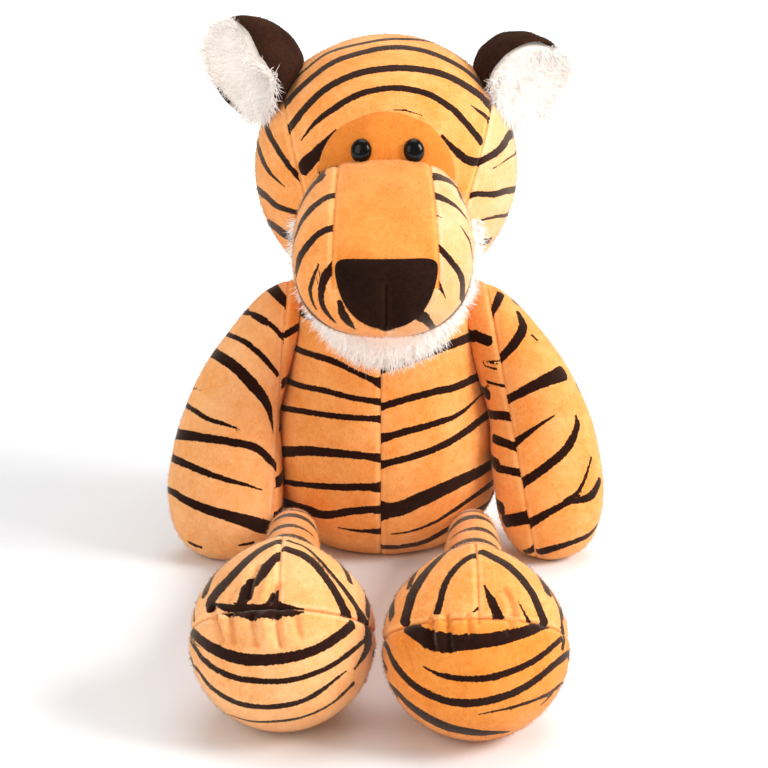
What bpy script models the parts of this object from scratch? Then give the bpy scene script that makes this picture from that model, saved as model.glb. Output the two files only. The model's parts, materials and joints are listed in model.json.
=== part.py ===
"""Seated plush tiger with hanging arms and legs: sewn cover panels over stuffed cores.

Metres, +Z up. The toy looks along -Y and sits on a flat oval panel whose centre is the
origin. Left and right are the viewer's, so every left piece lies at -X.
Each stuffed form is one closed surface. The core inside it is the same surface drawn in by
the cover and a clearance, and the covers are the shell between the two, cut along the seams.
"""

from math import cos, pi, radians, sin

import bmesh
import bpy
import numpy as np
from mathutils import Matrix, Vector

# Cloth
PLUSH = 0.0015  # short pile and its knitted backing
GAP = 0.0003  # clearance between neighbouring pieces
CORE_GAP = 0.0006  # clearance between a core and its covers, which are flat between their corners
CUT_REACH = 0.4  # half side of the blocks that part the forms, larger than the toy
FLOOR_FLAT = 0.0005  # depth by which a round form is pressed flat on the floor

# Body: a pear that sits on a round seat panel
BODY_HEIGHT = 0.136
BODY_HALF_WIDTH = 0.0555
BODY_HALF_DEPTH = 0.051
BODY_SEAM_X = -0.0015
SEAT_RADIUS = 0.027
# half width and height of each ring, from the centre of the seat to the top
BODY_WIDTH_SHARES = (0, 0.6, 0.8, 0.94, 1, 1, 0.965, 0.9, 0.84, 0.785, 0.72, 0.57, 0)
BODY_HEIGHT_SHARES = (0, 0, 0.045, 0.125, 0.235, 0.33, 0.44, 0.55, 0.66, 0.77, 0.87, 0.945, 1)

# Sides and rings of each round form
BODY_GRID = (20, 12)
HEAD_GRID = (20, 14)
DISH_GRID = (32, 20)  # of the hollow that the head turns in
MUZZLE_GRID = (18, 10)
NOSE_GRID = (16, 8)
CHIN_GRID = (10, 12)
EAR_GRID = (14, 8)
ARM_GRID = (14, 10)
LEG_GRID = (12, 10)
FOOT_GRID = (16, 10)
TAIL_GRID = (10, 10)
ROUND_SIDES = 20  # of a turned piece

# Head: a ball on the dished top of the body, turned on a round plug of stuffing
HEAD_X = 0.001
HEAD_Z = 0.1815
HEAD_RADIUS = 0.0606
HEAD_SEAM_X = 0.0362  # from the head's middle, at its height
HEAD_SEAM_LEAN = radians(11)  # the crown narrows downwards
NECK_RADIUS = 0.014
NECK_DEPTH = 0.026  # from the underside of the head down into the body

# Eyes: glossy domes on shanks, held by washers inside the head cover
EYE_X = {"left": 0.0106, "right": 0.0117}  # from the head's middle
EYE_Z = 0.2026
EYE_RADIUS = 0.0046
EYE_DOME = 0.0034
SHANK_RADIUS = 0.0013
SHANK_LENGTH = 0.011
WASHER_RADIUS = 0.005
WASHER_THICKNESS = 0.001
WASHER_DEPTH = 0.0016  # free space between the head cover and the washer
# Patch of darker plush around the eyes
PATCH_THICKNESS = 0.0012
PATCH_HALF_WIDTH = 0.0303
PATCH_FOOT_Z = 0.19
PATCH_TOP_Z = 0.2185

# Muzzle
MUZZLE_X = -0.0003
MUZZLE_Y = -0.073
MUZZLE_Z = 0.1621
MUZZLE_HALF_WIDTH = 0.0392
MUZZLE_HALF_LENGTH = 0.0415
MUZZLE_HALF_HEIGHT = 0.0345
MUZZLE_TOP_SLOPE = 0.3  # fall of the top for each metre forward
MUZZLE_POWER = 2.6
BRIDGE_HALF_WIDTH = 0.021
BRIDGE_FOOT_Z = 0.157
NOSE_HALF_WIDTH = 0.0225
NOSE_HALF_HEIGHT = 0.0165
NOSE_HALF_LENGTH = 0.0125
NOSE_Y = -0.1055
NOSE_Z = 0.1565
NOSE_POWER = 2.5

# Long-pile chin: a crescent under the muzzle, named by its two ends and its lowest point
CHIN_END_X = 0.038
CHIN_END_Y = -0.041
CHIN_END_Z = 0.172
CHIN_LOW_Y = -0.071
CHIN_LOW_Z = 0.119
CHIN_RADIUS = 0.0095

# Ears: cups with a dark back and a furry lining
EAR_HALF_LENGTH = {"left": 0.0245, "right": 0.0235}
EAR_HALF_WIDTH = {"left": 0.0195, "right": 0.0205}
EAR_DEPTH = 0.036
EAR_LINING = 0.003
EAR_RIM_X = {"left": 0.0666, "right": 0.0663}
EAR_RIM_Y = {"left": -0.005, "right": -0.006}
EAR_RIM_Z = {"left": 0.2252, "right": 0.2204}
# directions, not sizes: where the cup opens, and its long axis towards the head
EAR_FACES = {"left": (-0.714, -0.6825, -0.156), "right": (0.5, -0.8404, -0.2038)}
EAR_LONG_AXIS = {"left": (0.472, -0.302, -0.83), "right": (-0.5, -0.088, -0.8616)}

# Arms: drops that hang from the shoulders and rest on the floor
SHOULDER_SIDE_SHARE = 0.784  # of the body's half width
SHOULDER_HEIGHT_SHARE = 0.9375
HAND_OUT = {"left": 0.0193, "right": 0.023}  # of the hand's middle beyond the body's side
HAND_Y = -0.032
HAND_HALF_WIDTH = {"left": 0.0272, "right": 0.0252}
HAND_HALF_DEPTH = 0.021
ARM_SEAM_OUT = 0.0045  # of the seam's top beyond the shoulder
ARM_SEAM_SHARE = 0.25  # of the hand's half width, from its middle towards the body
ARM_TOE_OUT = radians(22)  # turn of the shoulder's axis, so that a raised arm also goes outward
# rings from the hand to the shoulder
ARM_DROP_SHARES = (1, 0.985, 0.93, 0.84, 0.74, 0.62, 0.47, 0.3, 0.15, 0.05, 0)
ARM_OUT_SHARES = {
    "left": (0.97, 0.98, 1, 1, 1, 0.98, 0.92, 0.69, 0.34, 0.1, 0),
    "right": (0.97, 0.98, 1, 1, 1, 0.98, 0.92, 0.7, 0.37, 0.12, 0),
}
ARM_FORWARD_SHARES = (1, 1, 1, 0.97, 0.92, 0.8, 0.64, 0.5, 0.3, 0.1, 0)
ARM_WIDTH_SHARES = (0, 0.45, 0.78, 0.96, 1, 0.95, 0.82, 0.71, 0.56, 0.36, 0)
ARM_DEPTH_SHARES = (0, 0.5, 0.82, 0.97, 1, 0.95, 0.84, 0.74, 0.6, 0.38, 0)

# Legs and feet
HIP_SIDE_SHARE = 0.757  # of the body's half width
HIP_FORWARD_SHARE = 0.5869  # of the body's half depth
HIP_Z = 0.0185
HIP_ROOT = 0.0008  # how far the leg's sewn tip reaches behind its hinge
LEG_RADIUS = 0.0185
FOOT_X = {"left": 0.041, "right": 0.0365}
FOOT_Y = {"left": -0.197, "right": -0.204}
FOOT_RADIUS = 0.0375
FOOT_PEAK = 0.004  # how far the instep rises out of the ball
FOOT_PEAK_ANGLE = radians(24)
FOOT_PEAK_TILT = radians(20)  # from straight up, towards the body
FOOT_SEAM_TILT = radians(41)  # of the toe seam, above level at the front
# rings from the hip to inside the foot
LEG_ALONG_SHARES = (0, 0.03, 0.07, 0.12, 0.18, 0.32, 0.46, 0.6, 0.74, 0.84, 0.88)
LEG_WIDTH_SHARES = (0, 0.18, 0.38, 0.63, 0.88, 1, 1, 1, 0.98, 0.7, 0)

# Tail: lies on the floor behind the body
TAIL_BACK_SHARE = 0.8784  # of the body's half depth
TAIL_Z = 0.0115
TAIL_RADIUS = 0.0095
TAIL_LENGTH = 0.118
TAIL_DRIFT = 0.02  # sideways travel of its end
TAIL_ALONG_SHARES = (0, 0.03, 0.08, 0.15, 0.3, 0.45, 0.6, 0.75, 0.88, 0.97, 1)
TAIL_WIDTH_SHARES = (0, 0.35, 0.66, 0.88, 0.94, 0.97, 1, 1, 0.93, 0.6, 0)
TAIL_SINK_SHARES = (0, 0, 0.2, 0.6, 1, 1, 1, 1, 1, 1, 1)

SIDES = {"left": -1, "right": 1}

# Where the limbs are sewn on, worked out from the body's sizes
SHOULDER_X = SHOULDER_SIDE_SHARE * BODY_HALF_WIDTH
SHOULDER_Z = SHOULDER_HEIGHT_SHARE * BODY_HEIGHT
HAND_X = {side: BODY_HALF_WIDTH + out for side, out in HAND_OUT.items()}
HIP_X = HIP_SIDE_SHARE * BODY_HALF_WIDTH
HIP_Y = -HIP_FORWARD_SHARE * BODY_HALF_DEPTH
TAIL_Y = TAIL_BACK_SHARE * BODY_HALF_DEPTH

COLOURS = {  # sRGB colour, roughness
    "striped_plush": ((0.96, 0.64, 0.32), 0.9),
    "plain_plush": ((0.93, 0.59, 0.28), 0.9),
    "patch_plush": ((0.86, 0.53, 0.22), 0.9),
    "dark_plush": ((0.2, 0.12, 0.09), 0.9),
    "white_fur": ((0.96, 0.93, 0.9), 0.95),
    "stuffing": ((0.9, 0.9, 0.88), 1.0),
    "pellets": ((0.8, 0.8, 0.78), 0.6),
    "eye_plastic": ((0.01, 0.01, 0.01), 0.08),
    "washer_plastic": ((0.85, 0.85, 0.85), 0.4),
}


def clear_scene():
    for obj in list(bpy.data.objects):
        bpy.data.objects.remove(obj, do_unlink=True)


def new_collection(name):
    collection = bpy.data.collections.new(name)
    bpy.context.scene.collection.children.link(collection)
    return collection


def linear(channel):
    return channel / 12.92 if channel <= 0.04045 else ((channel + 0.055) / 1.055) ** 2.4


def make_materials():
    for name, (colour, roughness) in COLOURS.items():
        material = bpy.data.materials.new(name)
        material.use_nodes = True
        shader = material.node_tree.nodes["Principled BSDF"]
        shader.inputs["Base Color"].default_value = (*map(linear, colour), 1)
        shader.inputs["Roughness"].default_value = roughness
        shader.inputs["Metallic"].default_value = 0


def add_object(name, bm, material=None):
    """The bmesh as an object: a piece where a material is given, and otherwise a cutter."""
    bmesh.ops.recalc_face_normals(bm, faces=bm.faces[:])
    if bm.calc_volume(signed=True) < 0:  # a mirrored form
        bmesh.ops.reverse_faces(bm, faces=bm.faces[:])
    mesh = bpy.data.meshes.new(name)
    bm.to_mesh(mesh)
    bm.free()
    obj = bpy.data.objects.new(name, mesh)
    if material is None:
        cutters.objects.link(obj)
        obj.hide_render = True
        obj.display_type = "WIRE"
        return obj
    pieces.objects.link(obj)
    mesh.materials.append(bpy.data.materials[material])
    mesh.shade_smooth()
    mesh.set_sharp_from_angle(angle=radians(50))
    return obj


def add_form(name, form, inset, grid, material=None):
    """A UV sphere whose unit points are carried onto the form, drawn in by inset."""
    sides, rings = grid
    bm = bmesh.new()
    bmesh.ops.create_uvsphere(bm, u_segments=sides, v_segments=rings, radius=1)
    bm.verts.ensure_lookup_table()
    placed = form(np.array([vert.co for vert in bm.verts]), inset)
    for vert, point in zip(bm.verts, placed):
        vert.co = point
    return add_object(name, bm, material)


def boolean(obj, cutter, operation):
    modifier = obj.modifiers.new(f"{operation.lower()}_{cutter.name}", "BOOLEAN")
    modifier.operation = operation
    modifier.solver = "EXACT"
    modifier.object = cutter


def cut(obj, *cutting):
    for cutter in cutting:
        boolean(obj, cutter, "DIFFERENCE")


def keep(obj, cutter):
    boolean(obj, cutter, "INTERSECT")


def half_space(name, point, normal):
    """A block that fills the side of the plane through point that normal looks to."""
    bm = bmesh.new()
    bmesh.ops.create_cube(bm, size=2 * CUT_REACH)
    turn = Vector(normal).to_track_quat("Z", "Y").to_matrix().to_4x4()
    lift = Matrix.Translation((0, 0, CUT_REACH))
    bmesh.ops.transform(bm, matrix=Matrix.Translation(point) @ turn @ lift, verts=bm.verts[:])
    return add_object(name, bm)


def seam_pair(name, point, normal):
    """Two blocks that part a form along a plane: the first cuts away the side that normal looks to."""
    point, normal = Vector(point), Vector(normal).normalized()
    step = normal * (GAP / 2)
    return (
        half_space(f"{name}_beyond", point - step, normal),
        half_space(f"{name}_before", point + step, -normal),
    )


def round_bar(name, radius, start, end, material=None, sides=ROUND_SIDES):
    start, end = Vector(start), Vector(end)
    bm = bmesh.new()
    bmesh.ops.create_cone(
        bm, cap_ends=True, segments=sides, radius1=radius, radius2=radius,
        depth=(end - start).length,
    )
    turn = (end - start).to_track_quat("Z", "Y").to_matrix().to_4x4()
    bmesh.ops.transform(
        bm, matrix=Matrix.Translation((start + end) / 2) @ turn, verts=bm.verts[:]
    )
    return add_object(name, bm, material)


def block(name, low, high):
    low, high = Vector(low), Vector(high)
    bm = bmesh.new()
    bmesh.ops.create_cube(bm, size=1)
    bmesh.ops.scale(bm, vec=high - low, verts=bm.verts[:])
    bmesh.ops.translate(bm, vec=(low + high) / 2, verts=bm.verts[:])
    return add_object(name, bm)


def ring_of(units):
    """For each unit point, its place from the low pole (0) to the high pole (1), and its turn."""
    return np.arccos(np.clip(-units[:, 2], -1, 1)) / pi, np.arctan2(units[:, 1], units[:, 0])


def along_rings(place, shares):
    return np.interp(place, np.linspace(0, 1, len(shares)), shares)


def drawn_in(half, inset):
    """Half sizes less the inset, and never less than two thirds of them, as at a pole."""
    return half - np.minimum(inset, np.maximum(half, 0) / 3)


def body_half_width(y, z):
    """Half width of the body at a depth and a height, and 0 outside it."""
    width = np.interp(z / BODY_HEIGHT, BODY_HEIGHT_SHARES[1:], BODY_WIDTH_SHARES[1:])
    inside = width**2 - (y / BODY_HALF_DEPTH) ** 2
    in_height = (z > 0) & (z < BODY_HEIGHT)
    return np.where(in_height, BODY_HALF_WIDTH * np.sqrt(np.maximum(inside, 0)), 0)


def body_form(units, inset):
    place, turn = ring_of(units)
    share = along_rings(place, BODY_WIDTH_SHARES)
    height = along_rings(place, BODY_HEIGHT_SHARES)
    x = drawn_in(share * BODY_HALF_WIDTH, inset) * np.cos(turn)
    y = drawn_in(share * BODY_HALF_DEPTH, inset) * np.sin(turn)
    return np.stack([x, y, inset + height * (BODY_HEIGHT - 2 * inset)], axis=1)


def head_form(units, inset):
    return units * (HEAD_RADIUS - inset) + (HEAD_X, 0, HEAD_Z)


def box_round(units, power):
    """Unit points moved out onto a rounded box: power 2 is the sphere."""
    return units / (np.abs(units) ** power).sum(axis=1, keepdims=True) ** (1 / power)


def muzzle_form(units, inset):
    half = np.array([MUZZLE_HALF_WIDTH, MUZZLE_HALF_LENGTH, MUZZLE_HALF_HEIGHT]) - inset
    points = box_round(units, MUZZLE_POWER) * half
    # the top falls towards the nose, the underside stays level
    lifted = np.clip(points[:, 2] / MUZZLE_HALF_HEIGHT, 0, 1)
    points[:, 2] += lifted * MUZZLE_TOP_SLOPE * points[:, 1]
    return points + (MUZZLE_X, MUZZLE_Y, MUZZLE_Z)


def nose_form(units, inset):
    half = np.array([NOSE_HALF_WIDTH, NOSE_HALF_LENGTH, NOSE_HALF_HEIGHT]) - inset
    points = box_round(units, NOSE_POWER) * half
    # narrower towards the chin
    low = np.clip(-points[:, 2] / NOSE_HALF_HEIGHT, 0, 1)
    points[:, 0] *= 1 - low / 2
    return points + (HEAD_X, NOSE_Y, NOSE_Z)


def chin_form(units, inset):
    """A bow of round sections from the left end, under the muzzle, to the right end."""
    place, turn = ring_of(units)
    bend = pi * (place - 1 / 2)
    drop = np.cos(bend)
    middle = np.stack([
        CHIN_END_X * np.sin(bend),
        CHIN_END_Y + (CHIN_LOW_Y - CHIN_END_Y) * drop,
        CHIN_END_Z + (CHIN_LOW_Z - CHIN_END_Z) * drop,
    ], axis=1)
    radius = drawn_in(CHIN_RADIUS * np.sqrt(np.sin(pi * place).clip(0)), inset)
    out = np.stack([np.sin(bend), np.zeros_like(bend), -drop], axis=1)
    points = middle + out * (radius * np.cos(turn))[:, None]
    points[:, 1] += radius * np.sin(turn)
    return points + (HEAD_X, 0, 0)


def arm_form(side):
    out, width = HAND_X[side] - SHOULDER_X, HAND_HALF_WIDTH[side]

    def form(units, inset):
        place, turn = ring_of(units)
        x = SHOULDER_X + out * along_rings(place, ARM_OUT_SHARES[side])
        x = x + drawn_in(width * along_rings(place, ARM_WIDTH_SHARES), inset) * np.cos(turn)
        y = HAND_Y * along_rings(place, ARM_FORWARD_SHARES)
        depth = drawn_in(HAND_HALF_DEPTH * along_rings(place, ARM_DEPTH_SHARES), inset)
        y = y + depth * np.sin(turn)
        drop = along_rings(place, ARM_DROP_SHARES)
        z = SHOULDER_Z - inset - drop * (SHOULDER_Z + FLOOR_FLAT - 2 * inset)
        # the side that lies against the body is pressed to its shape
        flank = body_half_width(y, z)
        x = np.where(flank > 0, np.maximum(x, flank + 2 * GAP + inset), x)
        return np.stack([SIDES[side] * x, y, z], axis=1)

    return form


def leg_form(side):
    hip = np.array([HIP_X, HIP_Y, HIP_Z])
    foot = np.array([FOOT_X[side], FOOT_Y[side], FOOT_RADIUS - FLOOR_FLAT])
    axis = Vector(foot - hip).normalized()
    across = np.array(axis.cross((0, 0, 1)).normalized())
    above = np.array(Vector(across).cross(axis))

    def form(units, inset):
        place, turn = ring_of(units)
        along = along_rings(place, LEG_ALONG_SHARES)[:, None]
        radius = drawn_in(LEG_RADIUS * along_rings(place, LEG_WIDTH_SHARES), inset)
        start = hip + np.array(axis) * (inset - HIP_ROOT)
        points = start + (foot - start) * along
        points = points + across * (radius * np.cos(turn))[:, None]
        points = points + above * (radius * np.sin(turn))[:, None]
        points[:, 0] *= SIDES[side]
        return points

    return form


def foot_form(side):
    centre = (SIDES[side] * FOOT_X[side], FOOT_Y[side], FOOT_RADIUS - FLOOR_FLAT)
    peak = np.array([0, sin(FOOT_PEAK_TILT), cos(FOOT_PEAK_TILT)])

    def form(units, inset):
        away = np.arccos(np.clip(units @ peak, -1, 1))
        rise = FOOT_PEAK * np.clip(1 - away / (2 * FOOT_PEAK_ANGLE), 0, 1) ** 2
        return units * (FOOT_RADIUS - inset + rise)[:, None] + centre

    return form


def tail_form(units, inset):
    place, turn = ring_of(units)
    along = along_rings(place, TAIL_ALONG_SHARES)
    radius = drawn_in(TAIL_RADIUS * along_rings(place, TAIL_WIDTH_SHARES), inset)
    floor = TAIL_RADIUS - FLOOR_FLAT
    x = TAIL_DRIFT * along**2 + radius * np.cos(turn)
    y = TAIL_Y + inset + (TAIL_LENGTH - 2 * inset) * along
    z = TAIL_Z + (floor - TAIL_Z) * along_rings(place, TAIL_SINK_SHARES) - radius * np.sin(turn)
    return np.stack([x, y, z], axis=1)


def sewn(form, grid, panels, core, core_material):
    """Cover panels and the core inside them. panels maps each name to (material, cutters)."""
    cavity = add_form(f"{core}_cavity", form, PLUSH, grid)
    made = {}
    for name, (material, cutting) in panels.items():
        made[name] = add_form(name, form, 0, grid, material)
        cut(made[name], *cutting, cavity)
    made[core] = add_form(core, form, PLUSH + CORE_GAP, grid, core_material)
    return made


def add_joint(name, place, members, parent=None, turn=0):
    """An empty on the joint that carries its pieces; its X axis is the hinge's where it has one."""
    empty = bpy.data.objects.new(name, None)
    empty.empty_display_size = EYE_RADIUS
    empty.location = place
    empty.rotation_euler.z = turn
    pieces.objects.link(empty)
    bpy.context.view_layer.update()
    if parent:
        empty.parent = parent
        empty.matrix_parent_inverse = parent.matrix_world.inverted()
        bpy.context.view_layer.update()
    for obj in members:
        obj.parent = empty
        obj.matrix_parent_inverse = empty.matrix_world.inverted()
    return empty


def make_torso():
    left_of, right_of = seam_pair("body_seam", (BODY_SEAM_X, 0, 0), (1, 0, 0))
    # the flats of this dish clear the corners of the ball that turns in it
    flats = cos(pi / DISH_GRID[0]) * cos(pi / DISH_GRID[1] / 2)
    head_space = add_form(
        "head_space", head_form, HEAD_RADIUS - (HEAD_RADIUS + GAP) / flats, DISH_GRID
    )
    neck_top = HEAD_Z - HEAD_RADIUS
    low, high = (HEAD_X, 0, neck_top - NECK_DEPTH), (HEAD_X, 0, HEAD_Z)
    neck_space = round_bar(
        "neck_space", NECK_RADIUS + GAP, Vector(low) - Vector((0, 0, GAP)), high
    )
    seat_space = round_bar("seat_space", SEAT_RADIUS + GAP, (0, 0, -PLUSH), (0, 0, PLUSH + GAP))
    made = sewn(
        body_form, BODY_GRID,
        {
            "body_cover_left": ("striped_plush", (left_of, head_space, seat_space)),
            "body_cover_right": ("striped_plush", (right_of, head_space, seat_space)),
        },
        "body_stuffing", "stuffing",
    )
    for obj in made.values():
        cut(obj, neck_space)
    cut(made["body_stuffing"], head_space)
    made["seat_panel"] = round_bar(
        "seat_panel", SEAT_RADIUS, (0, 0, 0), (0, 0, PLUSH), "striped_plush"
    )
    neck = round_bar("neck_stuffing", NECK_RADIUS, low, high, "stuffing")
    cut(neck, head_space)
    return made, neck


def on_head(x, z, offset=0):
    """The point of the head's front surface at x and z, moved out by offset, and its direction."""
    across, up = x - HEAD_X, z - HEAD_Z
    out = Vector((across, -((HEAD_RADIUS**2 - across**2 - up**2) ** 0.5), up)).normalized()
    return Vector((HEAD_X, 0, HEAD_Z)) + out * (HEAD_RADIUS + offset), out


def make_eye(side, head):
    """A turned dome and shank, with its washer, bedded in the patch, the cover and the core."""
    x = HEAD_X + SIDES[side] * EYE_X[side]
    seat, out = on_head(x, EYE_Z, GAP + PATCH_THICKNESS + GAP)
    bm = bmesh.new()
    steps = 4
    dome = [
        (EYE_RADIUS * sin(pi / 2 * step / steps), EYE_DOME * cos(pi / 2 * step / steps))
        for step in range(steps + 1)
    ]
    profile = [*dome, (SHANK_RADIUS, 0), (SHANK_RADIUS, -SHANK_LENGTH), (0, -SHANK_LENGTH)]
    verts = [bm.verts.new((radius, 0, height)) for radius, height in profile]
    for first, second in zip(verts, verts[1:]):
        bm.edges.new((first, second))
    mesh = bpy.data.meshes.new(f"eye_{side}")
    bm.to_mesh(mesh)
    bm.free()
    eye = bpy.data.objects.new(f"eye_{side}", mesh)
    pieces.objects.link(eye)
    mesh.materials.append(bpy.data.materials["eye_plastic"])
    eye.matrix_world = Matrix.Translation(seat) @ out.to_track_quat("Z", "Y").to_matrix().to_4x4()
    screw = eye.modifiers.new("turn", "SCREW")
    screw.steps = screw.render_steps = 12
    screw.use_merge_vertices = True
    screw.merge_threshold = GAP / 30
    inner = seat - out * (GAP + PATCH_THICKNESS + GAP + PLUSH + WASHER_DEPTH)
    washer = round_bar(
        f"eye_washer_{side}", WASHER_RADIUS, inner - out * WASHER_THICKNESS, inner,
        "washer_plastic", 12,
    )
    shank_space = round_bar(
        f"shank_space_{side}", SHANK_RADIUS + GAP, seat - out * (SHANK_LENGTH + GAP), seat,
        sides=12,
    )
    washer_space = round_bar(
        f"washer_space_{side}", WASHER_RADIUS + GAP, inner - out * (WASHER_THICKNESS + GAP),
        seat, sides=12,
    )
    cut(washer, shank_space)
    cut(head["eye_patch"], shank_space)
    cut(head["head_crown"], shank_space)
    cut(head["head_stuffing"], shank_space, washer_space)
    return {eye.name: eye, washer.name: washer}


def make_ear(side, head_space):
    rim = Vector((SIDES[side] * EAR_RIM_X[side], EAR_RIM_Y[side], EAR_RIM_Z[side]))
    faces = Vector(EAR_FACES[side]).normalized()
    long_axis = Vector(EAR_LONG_AXIS[side]).normalized()
    frame = np.array([long_axis, faces.cross(long_axis).normalized(), faces])

    def cup(units, inset):
        size = np.array([EAR_HALF_LENGTH[side], EAR_HALF_WIDTH[side], EAR_DEPTH]) - inset
        return (units * size) @ frame + rim

    before_rim = half_space(f"ear_{side}_mouth", rim, faces)
    made = {}
    layers = (
        ("back", "dark_plush", 0, PLUSH),
        ("lining", "white_fur", PLUSH + GAP, PLUSH + GAP + EAR_LINING),
    )
    for layer, material, outer, inner in layers:
        name = f"ear_{side}_{layer}"
        hollow = add_form(f"{name}_hollow", cup, inner, EAR_GRID)
        made[name] = add_form(name, cup, outer, EAR_GRID, material)
        cut(made[name], hollow, before_rim, head_space)
    return made


def make_head():
    down = -sin(HEAD_SEAM_LEAN)
    left_place, right_place = (HEAD_X - HEAD_SEAM_X, 0, HEAD_Z), (HEAD_X + HEAD_SEAM_X, 0, HEAD_Z)
    left_beyond, left_before = seam_pair("head_seam_left", left_place, (-cos(HEAD_SEAM_LEAN), 0, down))
    right_beyond, right_before = seam_pair("head_seam_right", right_place, (cos(HEAD_SEAM_LEAN), 0, down))
    head_space = add_form("head_room", head_form, -GAP, HEAD_GRID)
    muzzle_space = add_form("muzzle_space", muzzle_form, -GAP, MUZZLE_GRID)
    head = sewn(
        head_form, HEAD_GRID,
        {
            "head_crown": ("striped_plush", (left_beyond, right_beyond)),
            "head_side_left": ("striped_plush", (left_before,)),
            "head_side_right": ("striped_plush", (right_before,)),
        },
        "head_stuffing", "stuffing",
    )
    # the patch is a slice of a slightly larger ball under a rounded outline
    patch = add_form("eye_patch", head_form, -(GAP + PATCH_THICKNESS), HEAD_GRID, "patch_plush")
    outline = round_bar("patch_outline", 1, (0, 0, 0), (0, -CUT_REACH, 0), sides=28)
    outline.scale = (PATCH_HALF_WIDTH, 1, PATCH_TOP_Z - PATCH_FOOT_Z)
    outline.location = (HEAD_X, 0, PATCH_FOOT_Z)
    keep(patch, outline)
    patch_foot = half_space("patch_foot", (0, 0, PATCH_FOOT_Z), (0, 0, -1))
    cut(patch, patch_foot, head_space, muzzle_space)
    head["eye_patch"] = patch
    for side in SIDES:
        head.update(make_eye(side, head))

    zone_x = (HEAD_X - BRIDGE_HALF_WIDTH, HEAD_X + BRIDGE_HALF_WIDTH)
    bridge_zone = block(
        "bridge_zone", (zone_x[0], -CUT_REACH, BRIDGE_FOOT_Z), (zone_x[1], CUT_REACH, CUT_REACH)
    )
    bridge_room = block(
        "bridge_room",
        (zone_x[0] - GAP, -CUT_REACH, BRIDGE_FOOT_Z - GAP),
        (zone_x[1] + GAP, CUT_REACH, CUT_REACH),
    )
    middle_beyond, middle_before = seam_pair("muzzle_seam", (HEAD_X, 0, 0), (1, 0, 0))
    muzzle = sewn(
        muzzle_form, MUZZLE_GRID,
        {
            "muzzle_bridge": ("plain_plush", (head_space,)),
            "muzzle_cheek_left": ("striped_plush", (head_space, bridge_room, middle_beyond)),
            "muzzle_cheek_right": ("striped_plush", (head_space, bridge_room, middle_before)),
        },
        "muzzle_stuffing", "stuffing",
    )
    keep(muzzle["muzzle_bridge"], bridge_zone)
    cut(muzzle["muzzle_stuffing"], head_space)
    head.update(muzzle)
    head["nose"] = add_form("nose", nose_form, 0, NOSE_GRID, "dark_plush")
    cut(head["nose"], muzzle_space)
    head["chin_beard"] = add_form("chin_beard", chin_form, 0, CHIN_GRID, "white_fur")
    cut(head["chin_beard"], head_space, muzzle_space)
    for side in SIDES:
        head.update(make_ear(side, head_space))
    return head


def make_arm(side, under_floor, body_room):
    sign, width = SIDES[side], HAND_HALF_WIDTH[side]
    top = Vector((sign * (SHOULDER_X + ARM_SEAM_OUT), 0, SHOULDER_Z))
    seam_foot = Vector((sign * (HAND_X[side] - ARM_SEAM_SHARE * width), HAND_Y, 0))
    lean = (top - seam_foot).normalized()
    outward = Vector((0, 1, 0)).cross(lean) * sign
    beyond, before = seam_pair(f"arm_{side}_seam", seam_foot, outward)
    return sewn(
        arm_form(side), ARM_GRID,
        {
            f"arm_{side}_outer": ("striped_plush", (before, under_floor)),
            f"arm_{side}_inner": ("striped_plush", (beyond, under_floor, body_room)),
        },
        f"arm_{side}_stuffing", "stuffing",
    )


def make_leg(side, under_floor, body_room):
    sign = SIDES[side]
    centre = Vector((sign * FOOT_X[side], FOOT_Y[side], FOOT_RADIUS - FLOOR_FLAT))
    hip = Vector((sign * HIP_X, HIP_Y, HIP_Z))
    along = (centre - hip).normalized()
    above = Vector((1, 0, 0)).cross(along) * -1
    foot_room = add_form(f"foot_{side}_room", foot_form(side), -GAP, FOOT_GRID)
    over, under = seam_pair(f"leg_{side}_seam", hip, above)
    made = sewn(
        leg_form(side), LEG_GRID,
        {
            f"leg_{side}_lower": ("striped_plush", (over, foot_room, body_room, under_floor)),
            f"leg_{side}_upper": ("striped_plush", (under, foot_room, body_room)),
        },
        f"leg_{side}_stuffing", "stuffing",
    )
    cut(made[f"leg_{side}_stuffing"], foot_room, body_room)
    toe_normal = (0, -sin(FOOT_SEAM_TILT), -cos(FOOT_SEAM_TILT))
    toe_beyond, toe_before = seam_pair(f"toe_{side}_seam", centre, toe_normal)
    mid_beyond, mid_before = seam_pair(f"instep_{side}_seam", centre, (sign, 0, 0))
    made.update(sewn(
        foot_form(side), FOOT_GRID,
        {
            f"foot_{side}_toe": ("striped_plush", (toe_before, under_floor)),
            f"foot_{side}_outer": ("striped_plush", (toe_beyond, mid_before)),
            f"foot_{side}_inner": ("striped_plush", (toe_beyond, mid_beyond)),
        },
        f"foot_{side}_pellets", "pellets",
    ))
    return made


def make_tail(under_floor, body_room):
    beyond, before = seam_pair("tail_seam", (0, 0, TAIL_RADIUS - FLOOR_FLAT), (0, 0, 1))
    made = sewn(
        tail_form, TAIL_GRID,
        {
            "tail_lower": ("striped_plush", (beyond, body_room, under_floor)),
            "tail_upper": ("striped_plush", (before, body_room)),
        },
        "tail_stuffing", "stuffing",
    )
    cut(made["tail_stuffing"], body_room)
    return made


clear_scene()
pieces = new_collection("plush_tiger")
cutters = new_collection("plush_tiger_cutters")
make_materials()
floor = half_space("under_floor", (0, 0, 0), (0, 0, -1))
body_room = add_form("body_room", body_form, -GAP, BODY_GRID)

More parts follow.
